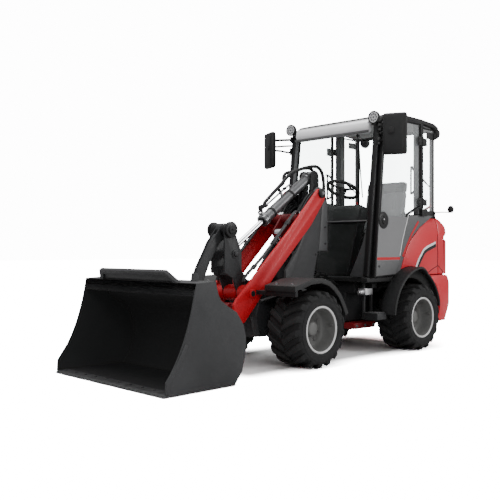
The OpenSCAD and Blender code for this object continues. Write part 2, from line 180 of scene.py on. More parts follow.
# the next finish is a darker copy of the red for the arm cross tube and the belly guard, which sit in shade: painted
# shade
RED_SHADED = material("red_shade", (0.14, 0.003, 0.006), rough=0.5, vary=0.15, scale=4.0, bump=0.03, spec=0.3)
CHAR = material("charcoal_paint", (0.022, 0.0225, 0.024), rough=0.50, vary=0.16, scale=4.0, bump=0.05, bscale=700, spec=0.30)
MASTG = material("mast_paint", (0.034, 0.0345, 0.036), rough=0.50, vary=0.12, scale=3.0, bump=0.04, bscale=700, spec=0.30)
GREYM = material("mast_flange_paint", (0.062, 0.063, 0.065), rough=0.50, vary=0.10, scale=3.0, bump=0.04, bscale=700, spec=0.30)
BUCKET = material("bucket_paint", (0.030, 0.0305, 0.032), rough=0.58, vary=0.16, scale=3.0, rvar=0.10, bump=0.08, bscale=260, spec=0.28, wear=dict(rgb=(0.042, 0.042, 0.044), scale=5, stretch=(1.5, 9, 1.5), amount=0.4))
# the next finish is a much darker copy of the bucket paint for the inside faces: painted shade; its rubbed patches are
# real wear
BUCKET_IN_SHADE = material("bucket_inside_shade", (0.0050, 0.0050, 0.0054), rough=0.62, vary=0.25, scale=4.0, rvar=0.10, bump=0.10, bscale=200, spec=0.22, wear=dict(rgb=(0.010, 0.010, 0.0105), scale=4, stretch=(1, 8, 1), amount=0.4))
EDGE = material("edge_steel", (0.05, 0.05, 0.052), rough=0.45, metal=0.5, vary=0.3, scale=12, bump=0.15, bscale=240)
BLACK = material("black_moulding", (0.009, 0.009, 0.0095), rough=0.55, vary=0.18, scale=8, bump=0.16, bscale=1300, spec=0.28)
GLOSSB = material("black_paint", (0.0065, 0.0065, 0.007), rough=0.42, coat=0.04, vary=0.12, scale=5, bump=0.02, bscale=800, spec=0.22)
CHASSIS = material("chassis_paint", (0.010, 0.010, 0.0108), rough=0.55, vary=0.16, scale=4.0, bump=0.05, bscale=700, spec=0.25)
FENDER = material("fender_plastic", (0.012, 0.012, 0.0125), rough=0.55, vary=0.18, scale=6, bump=0.25, bscale=900, spec=0.28)
GREY = material("grey_panel", (0.085, 0.086, 0.088), rough=0.52, vary=0.06, scale=5, bump=0.08, bscale=1100, spec=0.35)
INNERG = material("inner_grey_trim", (0.130, 0.131, 0.134), rough=0.6, vary=0.06, scale=5, bump=0.08, bscale=1100, spec=0.25)
PALE = material("pale_grey_trim", (0.30, 0.30, 0.305), rough=0.55, vary=0.05, scale=5, bump=0.08, bscale=1100, spec=0.3)
WHITE = material("white_trim", (0.72, 0.72, 0.72), rough=0.5, vary=0.03, scale=6, spec=0.3)
SILVER = material("silver_header", (0.74, 0.745, 0.755), rough=0.38, coat=0.2, metal=0.1, vary=0.04, scale=3, bump=0.02)
RIM = material("rim_paint", (0.120, 0.120, 0.117), rough=0.50, vary=0.08, scale=9, bump=0.04, bscale=800, spec=0.3)
RIMEDGE = material("rim_edge", (0.55, 0.55, 0.55), rough=0.36, coat=0.2, vary=0.05, scale=9, bump=0.03)
TYRE = material("tyre_rubber", (0.0105, 0.0105, 0.011), rough=0.80, vary=0.22, scale=14, rvar=0.10, bump=0.35, bscale=700, spec=0.28)
CHROME = material("chrome_rod", (0.72, 0.73, 0.75), rough=0.12, metal=1.0, vary=0.05, scale=30, rvar=0.05)
STEEL = material("pin_steel", (0.20, 0.20, 0.21), rough=0.40, metal=0.9, vary=0.15, scale=24, bump=0.05)
ZINC = material("zinc_fitting", (0.52, 0.52, 0.53), rough=0.30, metal=0.95, vary=0.12, scale=30, bump=0.03)
CYL = material("cylinder_paint", (0.150, 0.152, 0.156), rough=0.30, metal=0.7, coat=0.2, vary=0.10, scale=6, bump=0.03, spec=0.4)
HOSE = material("hose_rubber", (0.007, 0.007, 0.0075), rough=0.60, vary=0.2, scale=20, bump=0.30, bscale=1500, spec=0.3)
CAST = material("cast_iron", (0.016, 0.017, 0.018), rough=0.64, vary=0.25, scale=10, bump=0.40, bscale=350, spec=0.25)
SEATD = material("seat_dark", (0.060, 0.060, 0.062), rough=0.66, vary=0.12, scale=12, bump=0.45, bscale=1600, sheen=0.1, spec=0.25)
SEATG = material("seat_grey", (0.25, 0.25, 0.255), rough=0.70, vary=0.08, scale=14, bump=0.45, bscale=1800, sheen=0.15, spec=0.25)
LENS = material("lamp_lens", (0.66, 0.67, 0.68), rough=0.12, coat=0.9, vary=0.06, scale=50, bump=0.05)
LEDD = material("lamp_dark", (0.16, 0.16, 0.17), rough=0.25, coat=0.6, vary=0.1, scale=50)
AMBER = material("amber_lens", (0.62, 0.16, 0.01), rough=0.15, coat=0.8, vary=0.1, scale=40)
REDLENS = material("red_lens", (0.42, 0.005, 0.006), rough=0.15, coat=0.8, vary=0.1, scale=40)
MIRROR = material("mirror_face", (0.75, 0.77, 0.79), rough=0.04, metal=1.0, vary=0.02, scale=4, rvar=0.01)
SCREEN = material("display_glass", (0.01, 0.012, 0.016), rough=0.10, coat=0.8, vary=0.1, scale=8)
RUBBER = material("seal_rubber", (0.006, 0.006, 0.006), rough=0.70, vary=0.15, scale=30, bump=0.2, bscale=1200, spec=0.25)
GLASS = glass("clear_pane", (0.95, 0.965, 0.96), 0.002, (0.80, 0.82, 0.83), 0.010)
SGLASS = glass("side_pane", (0.93, 0.95, 0.95), 0.14, (0.86, 0.87, 0.88))
FILM = material("pane_film", (0.17, 0.17, 0.174), rough=0.6, vary=0.03, scale=3, spec=0.2)
# the bucket's inside also glows faintly white though nothing there is a lamp: painted light lifting its shade
painted_glow = BUCKET_IN_SHADE.node_tree.nodes["Principled BSDF"].inputs
painted_glow["Emission Color"].default_value, painted_glow["Emission Strength"].default_value = (1, 1, 1, 1), 0.004

world = bpy.data.worlds.new("studio")
world.use_nodes = True
wn = world.node_tree
bg = wn.nodes["Background"]
bg.inputs["Color"].default_value = (1.0, 1.0, 1.0, 1)
wco = node(wn, "ShaderNodeTexCoord")
wsep = node(wn, "ShaderNodeSeparateXYZ")
wn.links.new(wco.outputs["Generated"], wsep.inputs[0])
wmr = node(wn, "ShaderNodeMapRange")
wmr.inputs["From Min"].default_value, wmr.inputs["From Max"].default_value = -0.05, 0.75
wmr.inputs["To Min"].default_value, wmr.inputs["To Max"].default_value = SKY_LOW, SKY_TOP
wn.links.new(wsep.outputs["Z"], wmr.inputs["Value"])
wn.links.new(wmr.outputs["Result"], bg.inputs["Strength"])
back = node(wn, "ShaderNodeBackground")
back.inputs["Color"].default_value, back.inputs["Strength"].default_value = (1, 1, 1, 1), BACKDROP
wlp = node(wn, "ShaderNodeLightPath")
wmix = node(wn, "ShaderNodeMixShader")
wn.links.new(wlp.outputs["Is Camera Ray"], wmix.inputs["Fac"])
wn.links.new(bg.outputs[0], wmix.inputs[1])
wn.links.new(back.outputs[0], wmix.inputs[2])
wn.links.new(wmix.outputs[0], wn.nodes["World Output"].inputs["Surface"])
bpy.context.scene.world = world

fm = bpy.data.materials.new("floor_white")
fm.use_nodes = True
fn = fm.node_tree
fn.nodes.remove(fn.nodes["Principled BSDF"])
seen, bounce = node(fn, "ShaderNodeBsdfDiffuse"), node(fn, "ShaderNodeBsdfDiffuse")
# painted shadow: the floor the camera sees darkens softly under the machine, by the distance from its footprint
fco, fsep = node(fn, "ShaderNodeTexCoord"), node(fn, "ShaderNodeSeparateXYZ")
fn.links.new(fco.outputs["Object"], fsep.inputs[0])


def calc(op, *values):
    m = node(fn, "ShaderNodeMath")
    m.operation = op
    for i, v in enumerate(values):
        if isinstance(v, float):
            m.inputs[i].default_value = v
        else:
            fn.links.new(v, m.inputs[i])
    return m.outputs[0]


away = [calc("MAXIMUM", calc("SUBTRACT", calc("ABSOLUTE", calc("SUBTRACT", fsep.outputs[k], c)), h), 0.0) for k, c, h in (("X", -0.30, 1.25), ("Y", 0.0, 0.42))]
far = calc("SQRT", calc("ADD", calc("MULTIPLY", away[0], away[0]), calc("MULTIPLY", away[1], away[1])))
shadow_fade = node(fn, "ShaderNodeMapRange")
shadow_fade.interpolation_type = "SMOOTHSTEP"
shadow_fade.inputs["From Max"].default_value = 0.42
shadow_fade.inputs["To Min"].default_value, shadow_fade.inputs["To Max"].default_value = FLOOR_SHADOW_DEPTH * FLOOR_SEEN, FLOOR_SEEN
fn.links.new(far, shadow_fade.inputs["Value"])
fn.links.new(shadow_fade.outputs["Result"], seen.inputs["Color"])
bounce.inputs["Color"].default_value = (0.55, 0.55, 0.55, 1)
flp, fmx = node(fn, "ShaderNodeLightPath"), node(fn, "ShaderNodeMixShader")
fn.links.new(flp.outputs["Is Camera Ray"], fmx.inputs["Fac"])
fn.links.new(bounce.outputs[0], fmx.inputs[1])
fn.links.new(seen.outputs[0], fmx.inputs[2])
fn.links.new(fmx.outputs[0], fn.nodes["Material Output"].inputs["Surface"])
fme = bpy.data.meshes.new("floor")
fme.from_pydata([(-60, -60, 0), (60, -60, 0), (60, 60, 0), (-60, 60, 0)], [], [(0, 1, 2, 3)])
floor = bpy.data.objects.new("floor", fme)
bpy.context.collection.objects.link(floor)
fme.materials.append(fm)
floor.location.z = -0.0015


def area(name, loc, target, size, power, rgb=(1, 1, 1)):
    d = bpy.data.lights.new(name, "AREA")
    d.shape, d.size, d.energy, d.color = "DISK", size, power, rgb
    o = bpy.data.objects.new(name, d)
    bpy.context.collection.objects.link(o)
    o.location = loc
    o.rotation_euler = (Vector(target) - Vector(loc)).to_track_quat("-Z", "Y").to_euler()


area("key", (0.8, -0.6, 7.5), (0.2, 0, 0.6), 5.5, 520)
area("fill", (6.0, 6.5, 4.5), (0, 0, 0.9), 3.0, 230)
area("side", (-4.5, 6.5, 3.2), (-0.8, 0, 1.0), 3.0, 260)

# ------------------------------------------------------------------ mesh helpers


def finish_mesh(o, smooth=32):
    me = o.data
    me.polygons.foreach_set("use_smooth", [True] * len(me.polygons))
    me.set_sharp_from_angle(angle=math.radians(smooth))
    me.update()


def bevel_bm(bm, width, seg, angle=28):
    edges = [e for e in bm.edges if len(e.link_faces) == 2 and e.calc_face_angle(0.0) > math.radians(angle)]
    if edges:
        bmesh.ops.bevel(bm, geom=edges, offset=width, offset_type="OFFSET", segments=seg, profile=0.6, affect="EDGES", clamp_overlap=False)


class Geo:
    """Collects simple solids as arrays and makes one mesh piece of them."""

    def __init__(self):
        self.v, self.f = [], []

    def add(self, verts, faces):
        k = len(self.v)
        self.v += [tuple(p) for p in verts]
        self.f += [tuple(i + k for i in f) for f in faces]
        return self

    def box(self, a, b, m=None):
        """Box between two corners in millimetres, or about the origin with a matrix m."""
        x0, y0, z0 = a
        x1, y1, z1 = b
        p = [Vector(q) for q in ((x0, y0, z0), (x1, y0, z0), (x1, y1, z0), (x0, y1, z0), (x0, y0, z1), (x1, y0, z1), (x1, y1, z1), (x0, y1, z1))]
        if m is not None:
            p = [m @ q for q in p]
        return self.add([V(*q) for q in p], [(0, 3, 2, 1), (4, 5, 6, 7), (0, 1, 5, 4), (1, 2, 6, 5), (2, 3, 7, 6), (3, 0, 4, 7)])

    def prism(self, outline, y0, y1):
        """[x, z] outline, counter-clockwise seen from -Y, pushed from y0 to y1."""
        n = len(outline)
        area2 = sum(outline[i][0] * outline[(i + 1) % n][1] - outline[(i + 1) % n][0] * outline[i][1] for i in range(n))
        o = outline if area2 > 0 else outline[::-1]
        vs = [V(x, y0, z) for x, z in o] + [V(x, y1, z) for x, z in o]
        return self.add(vs, [tuple(range(n)), tuple(range(2 * n - 1, n - 1, -1))] + [(i, i + n, (i + 1) % n + n, (i + 1) % n) for i in range(n)])

    def cyl(self, p, q, r, n=24, r2=None, cap=True):
        p, q = Vector(p), Vector(q)
        d = (q - p).normalized()
        u = d.orthogonal().normalized()
        w = d.cross(u)
        r2 = r if r2 is None else r2
        ring = [(math.cos(2 * math.pi * i / n), math.sin(2 * math.pi * i / n)) for i in range(n)]
        vs = [V(*(p + (u * c + w * s) * r)) for c, s in ring] + [V(*(q + (u * c + w * s) * r2)) for c, s in ring]
        fs = [(i, (i + 1) % n, (i + 1) % n + n, i + n) for i in range(n)]
        if cap:
            fs += [tuple(range(n - 1, -1, -1)), tuple(range(n, 2 * n))]
        return self.add(vs, fs)

    def lathe(self, prof, c, d, n=48, closed=False):
        """[radius, distance] profile turned about the axis d through c, millimetres."""
        c, d = Vector(c), Vector(d).normalized()
        u = d.orthogonal().normalized()
        w = d.cross(u)
        m = len(prof)
        vs = []
        for i in range(n):
            a = 2 * math.pi * i / n
            e = u * math.cos(a) + w * math.sin(a)
            vs += [V(*(c + e * r + d * t)) for r, t in prof]
        fs = []
        for i in range(n):
            j = (i + 1) % n
            for k in range(m if closed else m - 1):
                l = (k + 1) % m
                fs.append((i * m + k, j * m + k, j * m + l, i * m + l))
        return self.add(vs, fs)

    def tube(self, pts, r, n=10, sub=6, closed=False):
        """Round tube along a smooth curve through the points, millimetres."""
        path = smooth_path(pts, sub, closed)
        m = len(path)
        t = [(path[(i + 1) % m if closed else min(i + 1, m - 1)] - path[(i - 1) % m if closed else max(i - 1, 0)]).normalized() for i in range(m)]
        u = t[0].orthogonal().normalized()
        vs, fs = [], []
        for i in range(m):
            u = (u - t[i] * u.dot(t[i])).normalized()
            w = t[i].cross(u)
            for k in range(n):
                a = 2 * math.pi * k / n
                vs.append(V(*(path[i] + (u * math.cos(a) + w * math.sin(a)) * r)))
        for i in range(m if closed else m - 1):
            j = (i + 1) % m
            for k in range(n):
                l = (k + 1) % n
                fs.append((i * n + k, i * n + l, j * n + l, j * n + k))
        if not closed:
            fs += [tuple(range(n - 1, -1, -1)), tuple(range((m - 1) * n, m * n))]
        return self.add(vs, fs)

    def ring(self, c, d, r0, r1, h, n=40):
        return self.lathe([(r0, 0), (r1, 0), (r1, h), (r0, h)], c, d, n, closed=True)

    def bolt(self, p, d, r=9, h=8, washer=True):
        """Hexagon head on a washer, standing on p along d."""
        p, d = Vector(p), Vector(d).normalized()
        if washer:
            self.cyl(p - d * 1.0, p + d * 2.2, r * 1.55, 18)
        self.cyl(p + d * 2.0, p + d * (2.2 + h), r, 6)
        return self

    def obj(self, name, mat, body, bevel=0.0, seg=2, smooth=32, weld=False):
        me = bpy.data.meshes.new(name)
        me.from_pydata(self.v, [], self.f)
        bm = bmesh.new()
        bm.from_mesh(me)
        if weld:
            bmesh.ops.remove_doubles(bm, verts=bm.verts, dist=1e-6)
        bmesh.ops.recalc_face_normals(bm, faces=bm.faces)
        if bevel:
            bevel_bm(bm, bevel / 1000.0, seg)
        bm.to_mesh(me)
        bm.free()
        o = bpy.data.objects.new(name, me)
        bpy.context.collection.objects.link(o)
        me.materials.append(mat)
        finish_mesh(o, smooth)
        if body:
            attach(o, body)
        return o


def smooth_path(pts, sub=6, closed=False):
    """Catmull-Rom curve through the points."""
    p = [Vector(q) for q in pts]
    n = len(p)
    if n == 2:
        return [p[0].lerp(p[1], i / sub) for i in range(sub + 1)]
    out = []
    for i in range(n if closed else n - 1):
        p0 = p[(i - 1) % n] if closed or i > 0 else p[0] * 2 - p[1]
        p1, p2 = p[i], p[(i + 1) % n]
        p3 = p[(i + 2) % n] if closed or i + 2 < n else p[n - 1] * 2 - p[n - 2]
        for k in range(sub):
            t = k / sub
            out.append(0.5 * ((2 * p1) + (p2 - p0) * t + (2 * p0 - 5 * p1 + 4 * p2 - p3) * t * t + (3 * p1 - p0 - 3 * p2 + p3) * t * t * t))
    if not closed:
        out.append(p[-1])
    return out


def body_of(name):
    for b, names in frame["record"]["behaviour"]["bodies"].items():
        if name in names:
            return b
    return None


def rounded(name, mat, width=4.0, seg=2, angle=28, smooth=32):
    """The node again with its edges rounded off, standing in for the plain solid."""
    src = NODES[name]
    bm = bmesh.new()
    bm.from_mesh(src.data)
    bmesh.ops.remove_doubles(bm, verts=bm.verts, dist=2e-5)
    bmesh.ops.dissolve_limit(bm, angle_limit=math.radians(0.8), verts=bm.verts, edges=bm.edges)
    bevel_bm(bm, width / 1000.0, seg, angle)
    me = bpy.data.meshes.new(name + "_form")
    bm.to_mesh(me)
    bm.free()
    o = bpy.data.objects.new(name + "_form", me)
    bpy.context.collection.objects.link(o)
    me.materials.append(mat)
    finish_mesh(o, smooth)
    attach(o, body_of(name))
    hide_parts(name)
    return o


def paint(name, mat):
    me = NODES[name].data
    if len(me.materials):
        for i in range(len(me.materials)):
            me.materials[i] = mat
    else:
        me.materials.append(mat)


SIDES = (("left", 1), ("right", -1))

# ------------------------------------------------------------------ finishes of the carried-over nodes
PLAIN = dict(rear_frame=CHASSIS, rear_axle=CAST, front_axle=CAST, engine=CAST, engine_cover=CHAR, cab_floor=BLACK, lower_glass=GLASS, dash=BLACK, steering_wheel=BLACK,
             seat_base=BLACK, windshield=GLASS, rear_glass=GLASS, side_glass=SGLASS, left_door_glass=SGLASS, right_door_glass=SGLASS, tilt_rod=CHROME, lift_rod=CHROME,
             hitch_pin=BLACK, crank_pin=RED, link_pin=GLOSSB, cab_sides=GREY, work_lights=BLACK, steps=CHASSIS, mirrors=BLACK, front_header=SILVER, cab_roof=BLACK,
             cab_posts=GLOSSB, left_door=GLOSSB, right_door=GLOSSB, hood=BODYRED, side_panels=BODYRED, counterweight=BODYRED, rear_fenders=FENDER, front_fenders=FENDER,
             front_frame=CHAR, mast=MASTG, arm_beams=RED, arm_cross=RED_SHADED, quick_hitch=RED, bucket=BUCKET, crank=CHAR, link=CHAR, tilt_barrel=CYL, lift_barrel=CYL,
             seat_cushion=SEATG, seat_back=SEATG)
for n_, m_ in PLAIN.items():
    if n_ in NODES:
        paint(n_, m_)
for n_ in NODES:
    if n_.startswith("tyre"):
        paint(n_, TYRE)
    if n_.startswith("rim"):
        paint(n_, RIM)

# edges rounded, millimetres
ROUND = dict(bucket=(3, BUCKET), arm_beams=(6, RED), arm_cross=(5, RED_SHADED), quick_hitch=(5, RED), crank=(4, CHAR), link=(3, CHAR), mast=(4, MASTG), front_frame=(5, CHAR), rear_frame=(6, CHASSIS),
             counterweight=(14, BODYRED), hood=(14, BODYRED), side_panels=(10, BODYRED), cab_sides=(6, GREY), cab_posts=(10, GLOSSB), left_door=(6, GLOSSB), right_door=(6, GLOSSB),
             cab_floor=(8, BLACK), dash=(14, BLACK), steps=(5, CHASSIS), engine_cover=(6, CHAR), tilt_barrel=(4, CYL), lift_barrel=(4, CYL), mirrors=(26, BLACK),
             engine=(12, CAST), front_axle=(6, CAST), rear_axle=(6, CAST), front_header=(26, SILVER), cab_roof=(9, BLACK), hitch_pin=(3, BLACK), crank_pin=(2, RED), link_pin=(5, GLOSSB))
FORM = {}
for n_, (w_, m_) in ROUND.items():
    if n_ in NODES:
        FORM[n_] = rounded(n_, m_, w_)
bucket_form = FORM["bucket"]
# outer line of a front fender, [x, z]
GUARD = [(1138, 672), (1136, 716), (1020, 742), (932, 766), (788, 774), (676, 744), (600, 694), (522, 622), (473, 546), (424, 455)]

# ------------------------------------------------------------------ wheels
LUGS = 17


def wheel(fr, side):
    s = dict(SIDES)[side]
    cx = 800 if fr == "front" else -800
    c = (cx, 534.5 * s, 336)
    body = f"wheel_{fr}_{side}"
    # carcass: [radius, distance from the middle plane]
    half = [(206, 172), (216, 180), (236, 184), (262, 184.5), (284, 180), (297, 170), (304, 150), (308, 110), (310, 60), (311, 0)]
    prof = half + [(r, -w) for r, w in half[::-1][1:]]
    g = Geo().lathe(prof, c, (0, s, 0), 96)
    g.lathe([(262, 185), (266, 186.2), (270, 185)], c, (0, s, 0), 96)
    g.lathe([(222, 181.5), (226, 184), (231, 182.5)], c, (0, s, 0), 96)
    tyre = g.obj(f"tyre_{fr}_{side}_carcass", TYRE, body)
    # tread bars: a row each side, wide at the shoulder and swept to the middle
    lug = Geo()
    ts = np.linspace(0, 1, 8)
    for row in (1, -1):
        for i in range(LUGS):
            a0 = 2 * math.pi * (i + (0.5 if row < 0 else 0)) / LUGS
            vs, fs = [], []
            for k, t in enumerate(ts):
                w = row * (6 + (185.0 - 6) * t)
                top = 336 - 9 * t ** 3 - (34 * ((t - 0.86) / 0.14) ** 1.3 if t > 0.86 else 0)
                low = 306 - 20 * t ** 3
                if t > 0.86:
                    low = min(low, top - 12)
                ang = a0 - 0.30 * (1 - t) ** 1.25
                hw = 0.060 + 0.026 * t
                for da, r in ((-hw - 0.020, low), (-hw, top), (hw, top), (hw + 0.020, low)):
                    th = ang + da
                    vs.append(V(cx + r * math.cos(th), 534.5 * s + w * s, 336 + r * math.sin(th)))
            m = len(ts)
            for k in range(m - 1):
                for j in range(4):
                    l = (j + 1) % 4
                    fs.append((k * 4 + j, k * 4 + l, (k + 1) * 4 + l, (k + 1) * 4 + j))
            fs += [(0, 1, 2, 3), tuple((m - 1) * 4 + j for j in (3, 2, 1, 0))]
            lug.add(vs, fs)
    lugs = lug.obj(f"tyre_{fr}_{side}_lugs", TYRE, body, bevel=4.0, seg=2, smooth=40)
    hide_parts(f"tyre_{fr}_{side}")
    # rim: deep dish with a bright lip
    y = lambda v: (v - 534.5)
    g = Geo().lathe([(203, y(362)), (188, y(364)), (184, y(372)), (184, y(540)), (176, y(546)), (84, y(548)), (82, y(541)), (46, y(541))], c, (0, s, 0), 72)
    g.lathe([(0.5, y(614)), (46, y(613)), (58, y(608)), (66, y(596)), (70, y(574)), (76, y(564)), (96, y(561)), (146, y(560)), (164, y(566)), (174, y(580)), (180, y(606)), (183, y(650)), (185, y(696)), (186, y(703))], c, (0, s, 0), 72)
    g.obj(f"rim_{fr}_{side}_dish", RIM, body, smooth=50)
    e = Geo().lathe([(186, y(702)), (189, y(708)), (195, y(711.5)), (202, y(710)), (206.5, y(704)), (206.5, y(696)), (203, y(690))], c, (0, s, 0), 96)
    ed = e.obj(f"rim_{fr}_{side}_lip", RIMEDGE, body, smooth=60)
    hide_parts(f"rim_{fr}_{side}")
    b = Geo()
    for i in range(8):
        a = 2 * math.pi * i / 8 + 0.2
        b.bolt((cx + 118 * math.cos(a), 560 * s, 336 + 118 * math.sin(a)), (0, s, 0), r=10, h=10)
    b.cyl((cx - 172, 640 * s, 336 + 30), (cx - 160, 690 * s, 336 + 28), 5, 10)
    b.obj(f"rim_{fr}_{side}_nuts", RIM, body, bevel=1.0, seg=1)


for f_ in ("front", "rear"):
    for s_, _ in SIDES:
        wheel(f_, s_)

# ------------------------------------------------------------------ more helpers


def offset_line(pts, d):
    """An open [x, z] line moved sideways by d (left of its direction)."""
    out = []
    for i, p in enumerate(pts):
        a = Vector(pts[max(i - 1, 0)])
        b = Vector(pts[min(i + 1, len(pts) - 1)])
        t = (b - a).normalized()
        out.append((p[0] - t.y * d, p[1] + t.x * d))
    return out


def strip(g, pts, d0, d1, y0, y1):
    """Band between two sideways offsets of an [x, z] line, as a run of joined quads."""
    a, b = offset_line(pts, d0), offset_line(pts, d1)
    n = len(pts)
    vs = [V(x, y0, z) for x, z in a] + [V(x, y0, z) for x, z in b] + [V(x, y1, z) for x, z in a] + [V(x, y1, z) for x, z in b]
    fs = []
    for i in range(n - 1):
        fs += [(i, i + 1, n + i + 1, n + i), (2 * n + i, 3 * n + i, 3 * n + i + 1, 2 * n + i + 1), (i, 2 * n + i, 2 * n + i + 1, i + 1), (n + i, n + i + 1, 3 * n + i + 1, 3 * n + i)]
    fs += [(0, n, 3 * n, 2 * n), (n - 1, 3 * n - 1, 4 * n - 1, 2 * n - 1)]
    return g.add(vs, fs)


def slab(g, outline, h0, h1, m):
    """[a, b] outline pushed from h0 to h1 along the third axis, then placed by the matrix m (millimetres)."""
    n = len(outline)
    vs = [V(*(m @ Vector((a, b, h0)))) for a, b in outline] + [V(*(m @ Vector((a, b, h1)))) for a, b in outline]
    return g.add(vs, [tuple(range(n)), tuple(range(2 * n - 1, n - 1, -1))] + [(i, i + n, (i + 1) % n + n, (i + 1) % n) for i in range(n)])


def round_rect(a, b, r, n=5):
    """[a, b] outline of a rectangle about the origin with round corners."""
    out = []
    for cx, cy, q in ((a / 2 - r, b / 2 - r, 0), (-a / 2 + r, b / 2 - r, 1), (-a / 2 + r, -b / 2 + r, 2), (a / 2 - r, -b / 2 + r, 3)):
        for i in range(n + 1):
            t = math.pi / 2 * (q + i / n)
            out.append((cx + r * math.cos(t), cy + r * math.sin(t)))
    return out


def place(c, u, w):
    """Matrix with first axis u, second axis w and origin c."""
    u, w = Vector(u).normalized(), Vector(w)
    w = (w - u * w.dot(u)).normalized()
    n = u.cross(w)
    return Matrix(((u.x, w.x, n.x, c[0]), (u.y, w.y, n.y, c[1]), (u.z, w.z, n.z, c[2]), (0, 0, 0, 1)))


def along(p, q, t, up=0.0, y=0.0):
    """Point on the line from pin p to pin q, t millimetres along, up sideways."""
    d = (Vector(q) - Vector(p)).normalized()
    return (p[0] + d.x * t - d.y * up, y, p[1] + d.y * t + d.x * up)


A, H, K, P, L, M, Q, B, E = (219, 1565), (1560, 325), (1156, 640), (1307, 1195), (1612, 520), (146, 1742), (1240, 985), (206, 388), (565, 1182)

# ------------------------------------------------------------------ bucket
bme = bucket_form.data
bme.materials.append(BUCKET_IN_SHADE)
# inner face of the bucket sheet, [x, z]
INNER = [(2480, 19), (1853, 19), (1780, 107), (1739.5, 274), (1742.5, 357), (1763, 443), (1833, 542), (1925, 591), (1993, 638), (2023, 690), (2046, 779), (2225, 776)]


def line_gap(p, pts):
    """Distance from p to an open line."""
    out = 1e9
    for a, b in zip(pts, pts[1:]):
        a, b = Vector(a), Vector(b)
        t = max(0.0, min(1.0, (p - a).dot(b - a) / (b - a).length_squared))
        out = min(out, (p - a - (b - a) * t).length)
    return out


# the inner sheet and the inner faces of the cheeks take the darker copy of the bucket paint: painted shade
for p_ in bme.polygons:
    c_ = p_.center
    x_, z_ = c_.x * 1000 + XM, c_.z * 1000
    sheet = abs(c_.y) < 0.720 and line_gap(Vector((x_, z_)), INNER) < 5 and z_ > 18
    cheek = 0.714 < abs(c_.y) < 0.7205 and p_.normal.y * c_.y < 0 and x_ < 2500
    if sheet or cheek:
        p_.material_index = 1
GM = place((2192, 0, 780), (0, 1, 0), (math.sin(math.radians(36)), 0, math.cos(math.radians(36))))
g = Geo()
slab(g, [(-522, 0), (-432, 116), (432, 116), (522, 0), (478, 0), (404, 74), (-404, 74), (-478, 0)], -3, 30, GM)
g.obj("bucket_guard_rim", BUCKET, "bucket", bevel=5)
g = Geo()
for s in (1, -1):
    strip(g, [(2500, 21), (2496, 106), (2391, 252), (2330, 363)], 0, 34, s * 727, s * 735)
g.obj("bucket_side_edges", BUCKET, "bucket", bevel=2)
g = Geo().prism([(2396, 18), (2396, 22), (2497, 22.5), (2516, 5), (2516, 3)], -730, 730)
g.obj("bucket_cutting_edge", EDGE, "bucket", bevel=1, seg=1)
g = Geo()
for s in (1, -1):
    for i in range(5):
        g.bolt((2440, s * (90 + 145 * i), 22), (0, 0, 1), r=11, h=5, washer=False)
g.obj("bucket_edge_bolts", EDGE, "bucket", bevel=1, seg=1)
# hitch furniture
g = Geo()
for s in (1, -1):
    g.cyl((H[0], s * 175, H[1]), (H[0], s * 186, H[1]), 44, 28).bolt((H[0], s * 186, H[1]), (0, s, 0), r=12, h=9)
g.obj("hitch_pin_caps", BLACK, "hitch_pin", bevel=2)
g = Geo()
for s in (1, -1):
    g.cyl((L[0], s * 58, L[1]), (L[0], s * 63, L[1]), 38, 28)
g.obj("link_foot_caps", BLACK, "bucket", bevel=2)

# ------------------------------------------------------------------ arms, crank and link
LINK_WEB = [(1396, 1158), (1462, 1080), (1507, 998), (1582, 875), (1640, 751), (1646, 590), (1578, 590), (1566, 744), (1487, 913), (1431, 1006), (1384, 1076), (1340, 1112)]
g = Geo()
for s in (1, -1):
    g.lathe([(0.5, 13), (30, 13), (40, 11), (46, 5), (47, 0)], (A[0], s * 233, A[1]), (0, s, 0), 36)
    g.cyl((A[0], s * 222, A[1]), (A[0], s * 234, A[1]), 47, 36)
g.obj("arm_pivot_caps", BLACK, "front_frame", smooth=40)
g = Geo()
for s in (1, -1):
    g.bolt((A[0], s * 245, A[1]), (0, s, 0), r=11, h=8)
g.obj("arm_pivot_bolts", STEEL, "front_frame", bevel=1, seg=1)
g = Geo()
for s in (1, -1):
    g.ring((K[0], s * 230, K[1]), (0, s, 0), 20, 25, 5, 32).cyl((K[0], s * 228, K[1]), (K[0], s * 233, K[1]), 20, 28)
g.obj("crank_pin_rings", BLACK, "crank_pin", bevel=1, seg=1)
g = Geo()
for k, yy in enumerate((178, 160)):
    for s in (1, -1):
        g.tube([(1215, s * yy, 748 - k * 6), (1180, s * yy, 800), (968, s * yy, 966), (722, s * yy, 1200), (606, s * yy, 1316), (546, s * yy, 1370), (496, s * (yy - 20), 1384), (464, s * (yy - 34), 1362)], 9, 12, 5)
g.obj("arm_pipes", CHAR, "loader_arm", smooth=60)
g = Geo()
for s in (1, -1):
    for x, z in ((1090, 870), (840, 1088), (650, 1272)):
        g.box((-26, s * 147, -9), (26, s * 196, 9), place((x, 0, z), (0.72, 0, -0.69), (0, 1, 0)) @ Matrix(((1, 0, 0, 0), (0, 1, 0, 0), (0, 0, 1, 0), (0, 0, 0, 1))))
        g.bolt((x - 6, s * 169, z + 10), (0.69, 0, 0.72), r=7, h=6)
g.obj("arm_pipe_clamps", BLACK, "loader_arm", bevel=2)
g = Geo()
for s in (1, -1):
    g.lathe([(0.5, 26), (16, 26), (24, 22), (26, 10), (38, 10), (38, 0)], (Q[0], s * 93, Q[1]), (0, s, 0), 32)
g.obj("crank_eye_rings", CHAR, "crank", smooth=40)
g = Geo()
for s in (1, -1):
    g.lathe([(0.5, 12), (26, 12), (36, 10), (40, 4), (40, -2)], (P[0], s * 125, P[1]), (0, s, 0), 32)
    g.cyl((P[0], s * 136, P[1]), (P[0], s * 146, P[1]), 6, 10)
